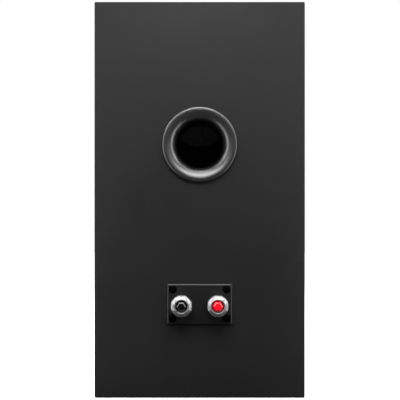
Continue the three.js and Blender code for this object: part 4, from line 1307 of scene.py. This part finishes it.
def spline(points, steps):
    """Centripetal Catmull-Rom through the points, as the route in the model."""
    pts = [Vector(p) for p in points]
    pts = [pts[0] * 2 - pts[1], *pts, pts[-1] * 2 - pts[-2]]
    out = []
    for i in range(1, len(pts) - 2):
        p0, p1, p2, p3 = pts[i - 1:i + 3]
        d = [max((q - p).length ** 0.5, 1e-4) for p, q in ((p0, p1), (p1, p2), (p2, p3))]
        t0, t1 = 0.0, d[0]
        t2, t3 = t1 + d[1], t1 + d[1] + d[2]
        for k in range(steps):
            t = t1 + (t2 - t1) * k / steps
            a1 = p0 * ((t1 - t) / (t1 - t0)) + p1 * ((t - t0) / (t1 - t0))
            a2 = p1 * ((t2 - t) / (t2 - t1)) + p2 * ((t - t1) / (t2 - t1))
            a3 = p2 * ((t3 - t) / (t3 - t2)) + p3 * ((t - t2) / (t3 - t2))
            b1 = a1 * ((t2 - t) / (t2 - t0)) + a2 * ((t - t0) / (t2 - t0))
            b2 = a2 * ((t3 - t) / (t3 - t1)) + a3 * ((t - t1) / (t3 - t1))
            out.append(b1 * ((t2 - t) / (t2 - t1)) + b2 * ((t - t1) / (t2 - t1)))
    out.append(pts[-2])
    return out


def flex(name, node, points, radius, material, twin=False):
    round_section = [(radius * math.cos(TAU * i / 16), radius * math.sin(TAU * i / 16)) for i in range(16)]
    if twin:
        section = []
        for i in range(28):
            t = TAU * i / 28
            waist = 0.55 + 0.45 * min(1.0, abs(math.sin(t)) * 1.6)
            section.append((radius * math.cos(t) * waist, radius * 1.95 * math.sin(t)))
        round_section = section
    b = Build()
    b.sweep(spline(points, 7), round_section)
    place(b.make(name, [MAT[material]], 60), "cabinet", node)


P = POST_Z
flex("post_lead_black", "lead_black", [(5.1, 86.8, P), (5.2, 81, P - 0.5), (10, 74, P - 8), (24, 66, 54), (38, 50, 36), (41.5, 33, 26), (41, 27.2, 20), (41, 27, 16.4)], 0.9, "wire_black")
flex("post_lead_red", "lead_red", [(-5.1, 86.8, P), (-5.2, 81, P - 0.5), (-10, 76, P - 8), (-24, 73, 54), (-36, 66, 34), (-40, 58.2, 21), (-40, 58, 16.4)], 0.9, "wire_red")
flex("woofer_flex", "woofer_cable", [(-38, 5, 16.5), (-38, 4.9, 20), (-37.5, 2, 25), (-34, -12, 34), (-24, -36, 40), (-12, -60, 44), (-2, -70, 47), (0, -75.4, 47)], 1.05, "wire_grey", True)
flex("tweeter_flex", "tweeter_cable", [(41, 6, 16.5), (41, 5.9, 20), (43, 3, 26), (54, -12, 50), (62, -30, 90), (62, -44, 150), (58, -60, 200), (52, -70, 226), (43, -81, 241), (36, -86.5, 246)], 1.05, "wire_grey", True)


# ===================================================================== grille
def window(z0, z1, grow):
    return rect(-76 - grow, 76 + grow, z0 - grow, z1 + grow, 5 + grow, 6)


b = Build()
outer_frame = [(rect(-86, 86, 3.5, 331.5, 2.2, 5, i), y) for i, y in ((1.6, -119.2), (0.75, -118.95), (0.2, -118.35), (0, -117.6), (0, -109.5), (0.15, -109.25), (0.5, -109.1))]
windows = [[(window(z0, z1, 2.2), -119.2), (window(z0, z1, 1.9), -119.0), (window(z0, z1, 0.0), -115.5), (window(z0, z1, 0.0), -109.4), (window(z0, z1, 0.3), -109.1)]
           for z0, z1 in ((15.5, 177), (189, 319.5))]
b.prism(outer_frame, windows)
grille = b.make("grille_panel", [MAT["grille_plastic"]], 40)
pegs = []
for x, z in PEGS:
    c = Build()
    c.lathe(rounded([(0, -111.5), (4.6, -111.5), (4.6, -109.0, 0.4), (3.0, -108.7, 0.3), (3.0, -100.6), (2.75, -100.2), (3.0, -99.8), (3.0, -99.4, 0.5), (2.1, -98.5, 0.3), (0, -98.5)], 0, 3, closed=False), x, z, 36)
    pegs.append(c.make("cutter", [MAT["grille_plastic"]]))
combine(grille, pegs, "UNION", angle=40)
place(grille, "grille", "grille_frame")

# The cloth is one sheet: flat over the frame's face, round its edge, down the sides.
CX, CZ0, CZ1 = 86.72, 2.78, 332.22       # outline of the cloth's middle surface
Y_CLOTH = -119.75
section = []                              # (distance in from the outline, y), from the middle out
EDGE_R = 2.6
for i in range(9):
    t = math.pi / 2 * i / 8
    section.append((EDGE_R * (1 - math.sin(t)), Y_CLOTH + EDGE_R * (1 - math.cos(t))))
section += [(0.0, -115.0), (0.0, -112.6), (0.0, -110.2)]


def cloth_outline(inset, per_side=40, corner_n=6):
    """Even points round a rounded rectangle, the same count at every inset."""
    r = max(3.0 - inset, 0.4)
    xa, xb, za, zb = -CX + inset, CX - inset, CZ0 + inset, CZ1 - inset
    pts = []
    corners = [(xb - r, za + r, -90), (xb - r, zb - r, 0), (xa + r, zb - r, 90), (xa + r, za + r, 180)]
    for k, (px, pz, a0) in enumerate(corners):
        for i in range(corner_n + 1):
            a = math.radians(a0 + 90 * i / corner_n)
            pts.append((px + r * math.cos(a), pz + r * math.sin(a)))
        nx, nz, na = corners[(k + 1) % 4]
        a = math.radians(a0 + 90)
        sx, sz = px + r * math.cos(a), pz + r * math.sin(a)
        e = math.radians(na)
        ex, ez = nx + r * math.cos(e), nz + r * math.sin(e)
        for i in range(1, per_side):
            pts.append((sx + (ex - sx) * i / per_side, sz + (ez - sz) * i / per_side))
    return pts


b = Build()
rings = [b.loop(cloth_outline(inset), y) for inset, y in section]
for a, d in zip(rings, rings[1:]):
    b.strip(a, d)
last = rings[0]
for inset in (8, 16, 28, 44, 62, 78):
    nxt = b.loop(cloth_outline(inset), Y_CLOTH)
    b.strip(last, nxt)
    last = nxt
b.cover([last])
cloth = b.make("grille_fabric", [MAT["grille_cloth"]], 60)
m = cloth.modifiers.new("thickness", "SOLIDIFY")
m.thickness = 0.45 * MM
m.offset = 0.0
apply_modifiers(cloth)
finish_mesh(cloth, 60)
place(cloth, "grille", "grille_cloth")


# ====================================================================== floor
b = Build()
floor_pts = [(-4000, -4000), (4000, -4000), (4000, 4000), (-4000, 4000)]
b.face([b.vertex(x, y, -0.3) for x, y in floor_pts])
floor = b.make("floor", [MAT["floor"]], smooth=False)
for v in floor.data.vertices:
    v.co.z = -0.0003
floor.data.update()
floor.visible_glossy = False
floor.visible_diffuse = False
